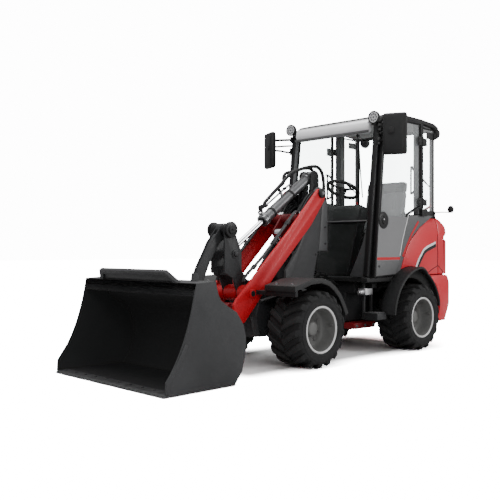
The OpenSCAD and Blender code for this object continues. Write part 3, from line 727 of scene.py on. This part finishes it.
g.obj("link_pin_ends", BLACK, "link_pin", smooth=40)
Geo().prism(LINK_WEB, -20.5, 20.5).obj("link_web", CHAR, "link", bevel=3)

# ------------------------------------------------------------------ cylinders
g = Geo()
for a, b, t, r in ((M, Q, 800, 57), (M, Q, 60, 55), (B, E, 795, 58), (B, E, 60, 55)):
    p0, p1 = along(a, b, t - 14), along(a, b, t)
    body = "tilt_barrel" if a is M else "lift_barrel"
    Geo().cyl(along(a, b, t - 52), along(a, b, t - 40), r + 3, 36).cyl(p0, along(a, b, t + 4), r + 2, 36).obj(f"{body}_collar_{t}", CYL, body, bevel=2)
    Geo().cyl(along(a, b, t + 3), along(a, b, t + 9), r - 18, 36).obj(f"{body}_wiper_{t}", RUBBER, body, bevel=1) if t > 700 else None
g = Geo().tube([along(M, Q, 770, 48, -26), along(M, Q, 770, 74, -30), along(M, Q, 745, 84, -30), along(M, Q, 690, 80, -30), along(M, Q, 300, 72, -30), along(M, Q, 262, 66, -30), along(M, Q, 250, 46, -28)], 10, 12, 5)
g.obj("tilt_pipe", STEEL, "tilt_barrel", smooth=60)
g = Geo()
for t in (330, 640):
    g.lathe([(51, 0), (54, 0), (54, 24), (51, 24)], along(M, Q, t), (Q[0] - M[0], 0, Q[1] - M[1]), 40, closed=True)
    g.box((-16, -14, -11), (16, 14, 11), place(along(M, Q, t + 12, 75, -30), (Q[0] - M[0], 0, Q[1] - M[1]), (0, 1, 0)))
g.obj("tilt_pipe_clamps", BLACK, "tilt_barrel", bevel=1.5)
g = Geo()
g.cyl(along(M, Q, 770, 44, 12), along(M, Q, 770, 74, 12), 17, 6).cyl(along(M, Q, 770, 74, 12), along(M, Q, 770, 96, 12), 13, 16)
g.cyl(along(M, Q, 420, 44, -20), along(M, Q, 420, 76, -20), 16, 6).cyl(along(M, Q, 420, 72, -20), along(M, Q, 420, 92, -20), 12, 16)
g.cyl(along(M, Q, 770, 44, -26), along(M, Q, 770, 64, -26), 15, 6)
g.obj("tilt_ports", ZINC, "tilt_barrel", bevel=1, seg=1)


def hose(name, pts, r, body=None, ends=None, mat=None, sub=8):
    """Hose held on one body; with ends given it is held on no body and its placement is baked in. The values in ends =
    (a, b, start, end), millimetres, are not used.
    """
    g = Geo().tube(pts, r, 12, sub)
    o = g.obj(name, mat or HOSE, body, smooth=60)
    if ends:
        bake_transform(o)
    return o


TB = ("front_frame", "tilt_barrel", (60, 0, 1800), (470, 0, 1640))
hose("tilt_hose_rod_end", [along(M, Q, 770, 86, 12), along(M, Q, 768, 130, 12), (792, 12, 1411 + 18), (786, 8, 1452), (755, 4, 1478), (690, 0, 1530), (566, 0, 1630), (422, 0, 1748), (260, 2, 1812), (92, 6, 1850), (10, 12, 1842), (-34, 20, 1790), (-46, 30, 1700), (-30, 40, 1600), (40, 40, 1520), (96, 40, 1490)], 17, ends=TB)
hose("tilt_hose_head_end", [along(M, Q, 420, 84, -20), along(M, Q, 418, 130, -22), (489, -28, 1660), (478, -34, 1722), (432, -40, 1762), (330, -44, 1786), (180, -48, 1826), (62, -54, 1834), (4, -60, 1800), (-18, -64, 1710), (0, -66, 1610), (50, -60, 1530), (96, -56, 1490)], 16, ends=TB)
g = Geo()
for y, z in ((40, 1490), (-56, 1490)):
    g.cyl((82, y, z), (116, y, z), 17, 6)
g.obj("mast_bulkhead_fittings", ZINC, "front_frame", bevel=1, seg=1)
AL = ("front_frame", "loader_arm", (200, 0, 1580), (400, 0, 1405))
for i, y in enumerate((-146, -118, -92, 88, 116, 144)):
    k = (i * 37 % 50) - 20
    hose(f"arm_hose_{i}", [(112, y, 1440 + k * 0.3), (150, y, 1502), (204, y, 1552 + k * 0.5), (262, y, 1548 + k * 0.6), (322, y, 1498 + k * 0.8), (376, y, 1438 + k * 0.6), (412, y, 1394 + k * 0.3), (436, y, 1362)], 12, ends=AL)
for i, y in enumerate((-150, -128, -104, -80, 80, 102, 126, 150)):
    k = (i * 29 % 40) - 16
    hose(f"arm_loop_{i}", [(110, y, 1360 + k), (168, y, 1412 + k), (226, y, 1452 + k * 1.4), (286, y, 1440 + k * 1.4), (336, y, 1392 + k), (384, y, 1340 + k * 0.5), (418, y, 1322)], 14, ends=AL)
g = Geo()
for y in (-146, -118, -92, 88, 116, 144):
    g.cyl((424, y, 1378), (446, y, 1350), 15, 6)
g.obj("arm_hose_fittings", ZINC, "loader_arm", bevel=1, seg=1)
FR = ("rear_frame", "front_frame", (-170, 0, 640), (120, 0, 640))
for i, (y, z, dz) in enumerate(((-96, 640, 70), (-62, 668, 96), (-28, 650, 84), (34, 672, 100), (70, 648, 76), (104, 660, 60))):
    hose(f"centre_hose_{i}", [(-330, y * 0.8, z - 40), (-260, y * 0.9, z - 16), (-170, y, z + 12), (-80, y * 1.05, z + dz * 0.8), (0, y * 1.1, z + dz), (70, y * 1.1, z + dz * 0.9), (130, y, z + 60), (190, y * 0.95, z + 26)], 12, ends=FR)
g = Geo()
g.box((150, -118, 622), (330, 118, 700)).box((180, -90, 700), (300, 90, 742))
for y in (-96, -62, -28, 34, 70, 104):
    g.cyl((176, y * 0.95, 694), (204, y * 0.95, 672), 15, 6)
g.obj("valve_block", CAST, "front_frame", bevel=3)
g = Geo()
for y in (-60, -20, 20, 60):
    g.cyl((240, y, 742), (240, y, 770), 15, 12).cyl((240, y, 770), (240, y, 782), 10, 6)
g.obj("valve_caps", ZINC, "front_frame", bevel=1, seg=1)
hose("lift_hose", [(300, 70, 640), (330, 78, 600), (350, 76, 560), (352, 66, 520), (340, 40, 500)], 11, body="front_frame")

# ------------------------------------------------------------------ front frame, mast, fenders
g = Geo()
for s in (1, -1):
    for x, z in ((330, 660), (400, 660), (480, 690), (600, 690), (260, 980), (130, 1080), (130, 1240)):
        g.bolt((x, s * 190, z), (0, s, 0), r=10, h=9)
    for x, z in ((960, 300), (1030, 300), (960, 560), (1030, 560), (160, 300), (160, 560)):
        g.bolt((x, s * 190, z), (0, s, 0), r=12, h=10)
g.obj("frame_bolts", CHAR, "front_frame", bevel=1, seg=1)
head = FORM["mast"].data
head.materials.append(CHASSIS)
for p_ in head.polygons:
    if abs(p_.center.y) < 0.1 and p_.center.z > 1.47:
        p_.material_index = 1
g = Geo()
for s in (1, -1):
    g.prism([(92, 1014), (226, 1014), (168, 1500), (112, 1500), (92, 1464)], s * 189, s * 194)
g.obj("mast_flanges", GREYM, "front_frame", bevel=2)
g = Geo()
for s in (1, -1):
    g.box((700, s * 188, 632), (1120, s * 350, 668))
    g.box((1090, s * 340, 628), (1122, s * 690, 690))
g.obj("front_fender_brackets", CHASSIS, "front_frame", bevel=3)
g = Geo()
for s in (1, -1):
    strip(g, GUARD, 0, 40, s * 690, s * 701)
    strip(g, GUARD, -3, 4, s * 352, s * 701)
g.obj("front_fender_lips", FENDER, "front_frame", bevel=2)
g = Geo()
for s in (1, -1):
    for y in (440, 620):
        g.bolt((1086, s * y, 731), (0.2, 0, 1), r=10, h=7)
g.obj("front_fender_bolts", STEEL, "front_frame", bevel=1, seg=1)
g = Geo()
for z, d in ((232, -1), (628, 1)):
    g.cyl((0, 0, z), (0, 0, z + d * 10), 58, 36).bolt((0, 0, z + d * 10), (0, 0, d), r=16, h=10)
    for i in range(6):
        t = math.pi / 3 * i
        g.bolt((44 * math.cos(t), 44 * math.sin(t), z + d * 10), (0, 0, d), r=6, h=5, washer=False)
CENTRE_CAPS = g
Geo().add(CENTRE_CAPS.v, CENTRE_CAPS.f).obj("centre_pin_caps", STEEL, "front_frame", bevel=1, seg=1)

# ------------------------------------------------------------------ cab: roof, header, glass
g = Geo()
for a, b in zip([(-1290, 2331), (-1040, 2349), (-760, 2353)], [(-1040, 2349), (-760, 2353), (-440, 2345)]):
    g.prism([a, b, (b[0], b[1] - 7), (a[0], a[1] - 7)], -505, 505)
g.obj("headliner", PALE, "rear_frame")
g = Geo()
g.prism([(-180, 2170), (-176, 2192), (-196, 2196), (-200, 2168)], -474, 474)
g.obj("header_lower_band", GREY, "rear_frame", bevel=3)
rub = Geo()
for s in (1, -1):
    for z0, x0, n in ((757, -115, 545), (1312, -180, 880)):
        rub.box((-9, s * 484, 0), (6, s * 500, n), Matrix.Translation((x0, 0, z0)) @ Matrix.Rotation(math.radians(-6.87), 4, "Y"))
rub.box((-1330, -488, 1392), (-1314, 488, 1412)).box((-1330, -488, 2296), (-1314, 488, 2316))
for s in (1, -1):
    rub.box((-1330, s * 470, 1392), (-1314, s * 490, 2316))
    rub.box((-1300, s * 503, 1390), (-1062, s * 517, 1406)).box((-1300, s * 503, 2306), (-1062, s * 517, 2322))
rub.obj("glass_seals", RUBBER, "rear_frame", bevel=2)
LEAN = Matrix.Rotation(math.radians(-6.87), 4, "Y")
g = Geo().box((-2, -500, -6), (10, 500, 6), Matrix.Translation((-180, 0, 1306)) @ LEAN)
g.obj("glass_rail", GREY, "rear_frame", bevel=2)
g = Geo()
for s in (1, -1):
    slab(g, [(s * 497, 0), (s * 310, 0), (s * 440, 330), (s * 474, 535), (s * 497, 535)], 4, 9, Matrix.Translation((-115, 0, 757)) @ LEAN @ place((0, 0, 0), (0, 1, 0), (0, 0, 1)))
g.obj("front_corner_panels", MASTG, "rear_frame", bevel=2)
g = Geo()
g.cyl((-278, 296, 2164), (-250, 296, 2164), 13, 18)
g.tube([(-256, 296, 2164), (-240, 330, 1980), (-218, 362, 1800)], 4.5, 8, 6)
g.tube([(-252, 322, 2010), (-224, 356, 1790), (-193, 403, 1534)], 6, 8, 6)
g.obj("wiper", BLACK, "rear_frame", smooth=60)

# ------------------------------------------------------------------ lamps and mirrors
for x0, x1, yc, zc, r, tag in ((-238, -178, 539, 2308, 60, "front"), (-1385, -1455, 467, 2293, 58, "rear")):
    d = 1 if x1 > x0 else -1
    h, f, k, w = Geo(), Geo(), Geo(), Geo()
    for s in (1, -1):
        c = (x0, s * yc, zc)
        h.lathe([(0.5, -2), (r * 0.5, 0), (r * 0.86, 14), (r, 30), (r + 1.5, 46), (r + 1.5, 60), (r - 3, 63), (r - 6, 58), (r - 7, 50), (0.5, 50)], c, (d, 0, 0), 48)
        f.lathe([(0.5, 53), (r - 9, 53), (r - 7, 50)], c, (d, 0, 0), 48)
        for i in range(8):
            a = 2 * math.pi * i / 8
            k.lathe([(11, 53), (10, 57), (6, 60.5), (0.5, 61)], (x0, s * yc + 32 * math.cos(a), zc + 32 * math.sin(a)), (d, 0, 0), 14)
        k.lathe([(13, 53), (11, 58), (6, 61), (0.5, 61.5)], c, (d, 0, 0), 18)
        for i in range(5):
            w.box((x0 - d * 2, s * yc - r * 0.55, zc - 24 + i * 11), (x0 + d * 16, s * yc + r * 0.55, zc - 20 + i * 11))
    for s in (1, -1):
        if tag == "front":
            h.cyl((-262, s * 532, 2282), (-234, s * 532, 2282), 14, 18)
        else:
            h.box((-1400, s * 455, 2290), (-1368, s * 480, 2335))
    shell = h.obj(f"lamp_shells_{tag}", BLACK, "rear_frame", smooth=40)
    if tag == "front":
        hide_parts("work_lights")
    f.obj(f"lamp_faces_{tag}", LENS, "rear_frame", smooth=40)
    k.obj(f"lamp_leds_{tag}", LEDD, "rear_frame", smooth=60)
    w.obj(f"lamp_fins_{tag}", BLACK, "rear_frame", bevel=1, seg=1)
g, q, z = Geo(), Geo(), Geo()
for s in (1, -1):
    m = Matrix.Translation((-147, s * 810, 2112)) @ Matrix.Rotation(math.radians(25 * s), 4, "Z")
    face = m @ place((0, 0, 0), (0, 1, 0), (0, 0, 1))
    slab(q, round_rect(186, 352, 34, 6), -31.5, -29, face)
    slab(g, round_rect(176, 330, 40, 6), 31.5, 35, face)
    slab(z, round_rect(60, 60, 20, 4), 34, 44, face @ Matrix.Translation((s * -34, 30, 0)))
q.obj("mirror_panes", MIRROR, "rear_frame", smooth=40)
g.obj("mirror_backs", BLACK, "rear_frame", bevel=1.5, smooth=40)
z.obj("mirror_back_bosses", BLACK, "rear_frame", bevel=3)
g = Geo()
for s in (1, -1):
    g.tube([(-247, s * 560, 2085), (-225, s * 610, 2080), (-190, s * 690, 2100), (-160, s * 770, 2112)], 11, 12, 6)
    g.tube([(-238, s * 566, 2149), (-180, s * 640, 2146), (-120, s * 745, 2143), (-110, s * 784, 2142)], 10, 12, 6)
    g.box((-275, s * 552, 2045), (-205, s * 574, 2120)).box((-285, s * 552, 2180), (-215, s * 576, 2245))
g.obj("mirror_arms", BLACK, "rear_frame", bevel=5, smooth=40)

# ------------------------------------------------------------------ doors
for sd, s in SIDES:
    body = f"{sd}_door"
    yo = 598 * s
    film = Geo().prism([(-142, 776), (-472, 786), (-516, 856), (-551, 962), (-598, 1120), (-698, 1352), (-196, 1352)], yo - 3 * s, yo + 1.5 * s)
    film.obj(f"{sd}_door_film", FILM, body)
    g = Geo()
    strip(g, [(-160, 935), (-548, 935)], -13, 13, yo, yo + 2.5 * s)
    g.obj(f"{sd}_door_stripe", RED, body, bevel=0.6, seg=1)
    g = Geo().prism([(-140, 768), (-472, 780), (-512, 850), (-545, 915), (-160, 915)], yo, yo + 4 * s)
    g.obj(f"{sd}_door_panel", GREY, body, bevel=3)
    g = Geo()
    strip(g, [(-560, 960), (-607, 1118), (-716, 1373), (-770, 1398)], -14, -6, yo, yo + 2.2 * s)
    g.obj(f"{sd}_door_line", WHITE, body, bevel=0.5, seg=1)
    g = Geo().lathe([(0.5, 9), (62, 9), (76, 7), (83, 2), (84, -2)], (-266, yo, 1308), (0, s, 0), 44)
    g.lathe([(0.5, 17), (34, 17), (39, 12), (40, 8)], (-266, yo, 1308), (0, s, 0), 32)
    g.obj(f"{sd}_door_latch", GLOSSB, body, smooth=40)
    g = Geo().cyl((-256, yo + 16 * s, 1318), (-256, yo + 19 * s, 1318), 9, 18)
    g.obj(f"{sd}_door_key", ZINC, body, bevel=0.6, seg=1)
    g = Geo().lathe([(0.5, 3), (9, 3), (13, 1), (14, -3)], (-190, yo + 4 * s, 862), (0, s, 0), 24)
    g.obj(f"{sd}_door_plug", BLACK, body, smooth=40)
    g = Geo()
    for z0, z1 in ((2106, 2192), (1478, 1556)):
        g.box((-955, yo - 2 * s, z0), (-880, yo + 9 * s, z1)).cyl((-962, 604 * s, z0 + 4), (-962, 604 * s, z1 - 4), 15, 20)
        for zz in (z0 + 22, z1 - 22):
            g.bolt((-905, yo + 9 * s, zz), (0, s, 0), r=7, h=5)
    g.obj(f"{sd}_door_hinges", BLACK, body, bevel=2)
    g = Geo()
    ring = [(-185, 965), (-545, 965), (-593, 1123), (-706, 1384), (-941, 1479), (-941, 2324), (-372, 2324), (-317, 2240), (-185, 965)]
    n = len(ring) - 1
    for i in range(n):
        strip(g, [ring[i], ring[i + 1]], -9, 3, 571 * s, 586 * s)
    g.obj(f"{sd}_door_seal", RUBBER, body)
    g = Geo().tube([(-824, 552 * s, 1600), (-900, 546 * s, 1640), (-922, 544 * s, 1740), (-900, 546 * s, 1836), (-824, 552 * s, 1876)], 11, 12, 6)
    g.tube([(-824, 552 * s, 1600), (-824, 552 * s, 1740), (-824, 552 * s, 1876)], 9, 10, 4)
    g.cyl((-824, 552 * s, 1600), (-824, 574 * s, 1600), 9, 14).cyl((-824, 552 * s, 1876), (-824, 574 * s, 1876), 9, 14)
    g.obj(f"{sd}_door_handle", GREY, body, smooth=60)
g = Geo()
for s in (1, -1):
    for z0, z1 in ((2112, 2186), (1484, 1550)):
        g.box((-1072, s * 556, z0), (-974, s * 590, z1)).box((-990, s * 580, z0 + 8), (-966, s * 600, z1 - 8))
    g.box((-1076, s * 556, 1376), (-978, s * 592, 1446))
    for z0, z1 in ((1359, 1437), (2210, 2280)):
        g.box((-1345, s * 514, z0), (-1180, s * 524, z1)).cyl((-1322, s * 528, z0), (-1322, s * 528, z1), 11, 16)
g.obj("hinge_blocks", BLACK, "rear_frame", bevel=3)
g = Geo()
for s in (1, -1):
    g.cyl((-1093, s * 498, 1800), (-1200, s * 498, 1738), 10, 14).cyl((-1200, s * 498, 1738), (-1276, s * 498, 1701), 6, 12)
g.obj("window_stays", BLACK, "rear_frame", smooth=50)
g = Geo()
for s in (1, -1):
    g.tube([(-1120, s * 494, 1430), (-1210, s * 494, 1462), (-1298, s * 494, 1496), (-1312, s * 494, 1540), (-1306, s * 494, 1590)], 11, 10, 5)
g.obj("quarter_straps", RED, "rear_frame", smooth=60)

# faces of the frame and doors that look into the cab
for n_ in ("cab_posts", "left_door", "right_door"):
    me_ = FORM[n_].data
    me_.materials.append(INNERG)
    for p_ in me_.polygons:
        c_ = p_.center
        into = p_.normal.y * (1 if c_.y < 0 else -1) > 0.5 or (n_ == "cab_posts" and c_.x < V(-950, 0, 0).x and p_.normal.x > 0.5)
        if into:
            p_.material_index = 1

# ------------------------------------------------------------------ inside the cab
g = Geo()
g.box((-30, -150, 0), (-24, 150, 90), Matrix.Translation((-330, 0, 1440)) @ Matrix.Rotation(math.radians(-62), 4, "Y"))
g.obj("dash_display", SCREEN, "rear_frame", bevel=3)
g = Geo().tube([(-330, 0, 1380), (-360, 0, 1500), (-394, 0, 1636)], 34, 20, 4)
g.obj("steering_column", BLACK, "rear_frame", smooth=60)
g = Geo()
for y, t in ((-300, 0.0), (-262, 6.0)):
    g.tube([(-700 - t, y, 1180), (-690 - t, y - 4, 1300), (-668 - t, y - 6, 1420)], 8, 10, 5)
    g.lathe([(0.5, -34), (16, -30), (24, -8), (24, 14), (17, 32), (0.5, 38)], (-662 - t, y - 6, 1446), (0.15, 0, 1), 20)
g.obj("control_levers", BLACK, "rear_frame", smooth=60)
g = Geo()
g.box((-1050, -398, 1120), (-620, -262, 1180))
g.obj("side_console", CHAR, "rear_frame", bevel=12)
g = Geo()
for y in (-160, 140, 200):
    g.box((-30, y - 34, -5), (60, y + 34, 5), Matrix.Translation((-400, 0, 800)) @ Matrix.Rotation(math.radians(-48), 4, "Y"))
    g.tube([(-395, y, 795), (-375, y, 775), (-370, y, 755)], 7, 8, 4)
g.obj("pedals", RUBBER, "rear_frame", bevel=3)
g = Geo().cyl((-1085, 262, 1300), (-1085, 290, 1400), 12, 14).lathe([(0.5, -20), (18, -18), (24, 0), (20, 18), (0.5, 24)], (-1085, 292, 1410), (0, 0.3, 1), 18)
g.obj("belt_buckle", BLACK, "rear_frame", smooth=50)
g = Geo()
g.box((-1060, -206, 1150), (-640, 206, 1190))
g.obj("seat_pan", BLACK, "rear_frame", bevel=8)


def cushion(name, node, boxes, mat, cap, pin_axis, seams=(), extra=None):
    """Cushion puffed up by a short cloth run inside the plain solid's outline."""
    g = Geo()
    for outline, y0, y1, m in boxes:
        k = len(g.v)
        g.prism(outline, y0, y1)
        if m is not None:
            for i in range(k, len(g.v)):
                p = Vector(g.v[i]) * 1000 + Vector((XM, 0, 0))
                g.v[i] = tuple(V(*(m @ p)))
    me = bpy.data.meshes.new(name)
    me.from_pydata(g.v, [], g.f)
    bm = bmesh.new()
    bm.from_mesh(me)
    bmesh.ops.recalc_face_normals(bm, faces=bm.faces)
    bevel_bm(bm, 0.022, 3)
    bm.to_mesh(me)
    bm.free()
    o = bpy.data.objects.new(name, me)
    bpy.context.collection.objects.link(o)
    bpy.context.view_layer.objects.active = o
    o.select_set(True)
    rm = o.modifiers.new("skin", "REMESH")
    rm.mode, rm.voxel_size = "VOXEL", 0.0065
    bpy.ops.object.modifier_apply(modifier=rm.name)
    me = o.data
    rest = np.empty(len(me.vertices) * 3)
    me.vertices.foreach_get("co", rest)
    rest = rest.reshape(-1, 3)
    a, v0, sign = pin_axis
    held = np.where((rest[:, a] - v0) * sign < 0.02)[0]
    vg = o.vertex_groups.new(name="held")
    vg.add([int(i) for i in held], 1.0, "REPLACE")
    cl = o.modifiers.new("cloth", "CLOTH")
    st = cl.settings
    st.quality, st.mass, st.use_pressure, st.uniform_pressure_force = 5, 0.3, True, 4.0
    st.tension_stiffness = st.compression_stiffness = 18.0
    st.effector_weights.gravity = 0.0
    st.vertex_group_mass = "held"
    sc = bpy.context.scene
    for fr in range(1, 21):
        sc.frame_set(fr)
    ev = o.evaluated_get(bpy.context.evaluated_depsgraph_get())
    em = ev.to_mesh()
    now = np.empty(len(em.vertices) * 3)
    em.vertices.foreach_get("co", now)
    now = now.reshape(-1, 3)
    ev.to_mesh_clear()
    o.modifiers.remove(cl)
    sc.frame_set(1)
    if len(now) == len(rest) and np.isfinite(now).all():
        d = now - rest
        n = np.linalg.norm(d, axis=1)
        big = n > cap
        d[big] *= (cap / n[big])[:, None]
        rest = rest + d
    for fn in seams:
        rest = fn(rest)
    me.vertices.foreach_set("co", rest.ravel())
    me.update()
    o.vertex_groups.clear()
    su = o.modifiers.new("fine", "SUBSURF")
    su.levels = su.render_levels = 1
    bpy.ops.object.modifier_apply(modifier=su.name)
    o.select_set(False)
    o.data.materials.clear()
    o.data.materials.append(mat)
    if extra:
        extra(o.data)
    o.data.polygons.foreach_set("use_smooth", [True] * len(o.data.polygons))
    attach(o, "rear_frame")
    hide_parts(node)
    return o


def groove(axis, at, depth, width, keep):
    """Pressed-in seam across the cushion, where coordinate axis is near at, for points that pass keep."""
    def fn(co):
        w = np.exp(-((co[:, axis] - at) / width) ** 2) * keep(co)
        c = co.mean(axis=0)
        d = c - co
        d[:, axis] = 0
        n = np.linalg.norm(d, axis=1)
        return co + d / np.maximum(n, 1e-6)[:, None] * (w * depth)[:, None]
    return fn


top = lambda co: (co[:, 2] > V(0, 0, 1250).z).astype(float)
cushion("seat_cushion_pad", "seat_cushion", [([(-1076, 1194), (-1076, 1278), (-640, 1290), (-608, 1270), (-614, 1194)], -244, 244, None)], SEATG, 0.024, (2, V(0, 0, 1194).z, 1),
        [groove(1, 0.150, 0.010, 0.010, top), groove(1, -0.150, 0.010, 0.010, top), groove(0, V(-830, 0, 0).x, 0.007, 0.009, top)])
bm_ = Matrix.Translation((-1082, 0, 1306)) @ Matrix.Rotation(math.radians(-9), 4, "Y")
allp = lambda co: np.ones(len(co))


def dark_head(me):
    me.materials.append(SEATD)
    for p in me.polygons:
        if p.center.z > V(0, 0, 1652).z:
            p.material_index = 1


cushion("seat_back_pad", "seat_back", [([(-98, 4), (-98, 476), (-14, 476), (-14, 4)], -244, 244, bm_)], SEATG, 0.020, (0, V(-1140, 0, 0).x, 1),
        [groove(2, V(0, 0, 1652).z, 0.010, 0.010, allp), groove(1, 0.150, 0.008, 0.010, allp), groove(1, -0.150, 0.008, 0.010, allp)], dark_head)

# ------------------------------------------------------------------ body sides and tail
g1, g2, g3, g4, g5 = Geo(), Geo(), Geo(), Geo(), Geo()
TRIM = [(-908, 842), (-963, 923), (-1051, 1017), (-1120, 1049), (-1291, 1098)]
for s in (1, -1):
    y0 = 560 * s
    strip(g1, TRIM, -13, 11, y0 - 1 * s, y0 + 4 * s)
    strip(g2, TRIM, 11, 46, y0 - 1 * s, y0 + 3 * s)
    strip(g3, [(-1105, 764), (-1220, 812), (-1337, 850)], -4, 4, y0 - 2 * s, y0 + 0.6 * s)
    strip(g3, [(-1334, 850), (-1334, 1175)], -3, 3, y0 - 2 * s, y0 + 0.6 * s)
    strip(g5, [(-1350, 848), (-1420, 800), (-1462, 762)], -4, 4, y0 - 2 * s, y0 + 0.6 * s)
    strip(g4, [(-959, 1318), (-834, 1187), (-713, 1025), (-665, 952)], -13, 13, 555 * s, 558.5 * s)
g1.obj("side_trim_silver", SILVER, "rear_frame", bevel=1, seg=1)
g2.obj("side_trim_black", BLACK, "rear_frame", bevel=1, seg=1)
g3.obj("side_seams", RUBBER, "rear_frame")
g5.obj("hood_seams", RUBBER, "hood")
g4.obj("cab_side_stripe", RED, "rear_frame", bevel=0.6, seg=1)
g = Geo()
for s in (1, -1):
    g.tube([(-1319, s * 521, 1420), (-1326, s * 566, 1424), (-1380, s * 600, 1428), (-1530, s * 600, 1430)], 6, 8, 6)
    g.lathe([(0.5, -30), (20, -28), (32, -8), (35, 16), (31, 26), (0.5, 28)], (-1540, s * 600, 1456), (0, 0, 1), 24)
g.obj("marker_lamp_rods", BLACK, "rear_frame", smooth=50)
g = Geo()
for s in (1, -1):
    g.lathe([(0.5, 50), (16, 48), (26, 38), (28, 26)], (-1540, s * 600, 1456), (0, 0, 1), 24)
g.obj("marker_lamps", GLOSSB, "rear_frame", smooth=50)
line = [(-1352, 530)] + [(-1455 + 140 * math.cos(math.radians(a)), 390 + 140 * math.sin(math.radians(a))) for a in range(90, 181, 15)]
g = Geo()
slab(g, line + [(x, -y) for x, y in reversed(line)], 744, 755, Matrix.Identity(4))
g.obj("hood_seal", RUBBER, "rear_frame")
g = Geo()
for i in range(7):
    g.box((-1630, -330, 800 + i * 34), (-1618, 330, 818 + i * 34))
g.obj("hood_grille", BLACK, "hood", bevel=2)
g = Geo()
g.box((-1629, -60, 1040), (-1612, 60, 1062))
g.obj("hood_latch", GLOSSB, "hood", bevel=4)
for nm, mat_, y0, y1 in (("tail_lamps_red", REDLENS, 330, 396), ("tail_lamps_amber", AMBER, 262, 326)):
    g = Geo()
    for s in (1, -1):
        g.box((-1631, s * y0, 640), (-1620, s * y1, 700))
    g.obj(nm, mat_, "rear_frame", bevel=4)
g = Geo()
for s in (1, -1):
    g.box((-1627, s * 254, 632), (-1618, s * 404, 708))
g.obj("tail_lamp_frames", BLACK, "rear_frame", bevel=3)

# ------------------------------------------------------------------ rear fenders, steps, belly
g = Geo()
for s in (1, -1):
    rim = []
    for a in range(9, 168, 4):
        x, z = -800 + 503 * math.cos(math.radians(a)), 336 + 503 * math.sin(math.radians(a))
        out = 714 if x > -720 else max(612, 714 - (-720 - x) * 0.3)
        rim.append((x, s * (out - 7), z))
    g.tube(rim, 12, 12, 2)
g.obj("rear_fender_lips", FENDER, "rear_frame", smooth=60)
g = Geo()
for s in (1, -1):
    for r, d0, d1, a0, a1, y0, y1 in ((514, 3, 114, 12, 172, 546, 562), (400, 1, 5, 66, 172, 305, 556)):
        arc = [(-800 + r * math.cos(math.radians(a)), 336 + r * math.sin(math.radians(a))) for a in range(a0, a1, 5)]
        strip(g, arc, d0, d1, s * y0, s * y1)
g.obj("wheel_arch_liners", RUBBER, "rear_frame", smooth=30)
g, k = Geo(), Geo()
for s in (1, -1):
    k.box((-278, s * 619, 349), (-132, s * 623, 408))
    for i in range(4):
        g.box((-276 + i * 38, s * 472, 411), (-252 + i * 38, s * 612, 416))
g.obj("step_treads", GREY, "rear_frame", bevel=2)
k.obj("step_faces", CHAR, "rear_frame", bevel=2)
g = Geo()
for s in (1, -1):
    g.box((-148, s * 470, 590), (-30, s * 556, 648)).cyl((-30, s * 520, 618), (18, s * 520, 618), 22, 20).cyl((18, s * 520, 618), (36, s * 520, 618), 14, 16)
g.obj("pillar_foot_fittings", ZINC, "rear_frame", bevel=3)
# belly guard in the darker copy of the red: painted shade under the machine
g = Geo().box((-560, -300, 226), (-200, 300, 290))
g.obj("belly_guard", RED_SHADED, "rear_frame", bevel=14)
g = Geo()
for s in (1, -1):
    for x in (-520, -380, -240):
        g.bolt((x, s * 300, 258), (0, s, 0), r=11, h=8)
g.obj("belly_bolts", STEEL, "rear_frame", bevel=1, seg=1)
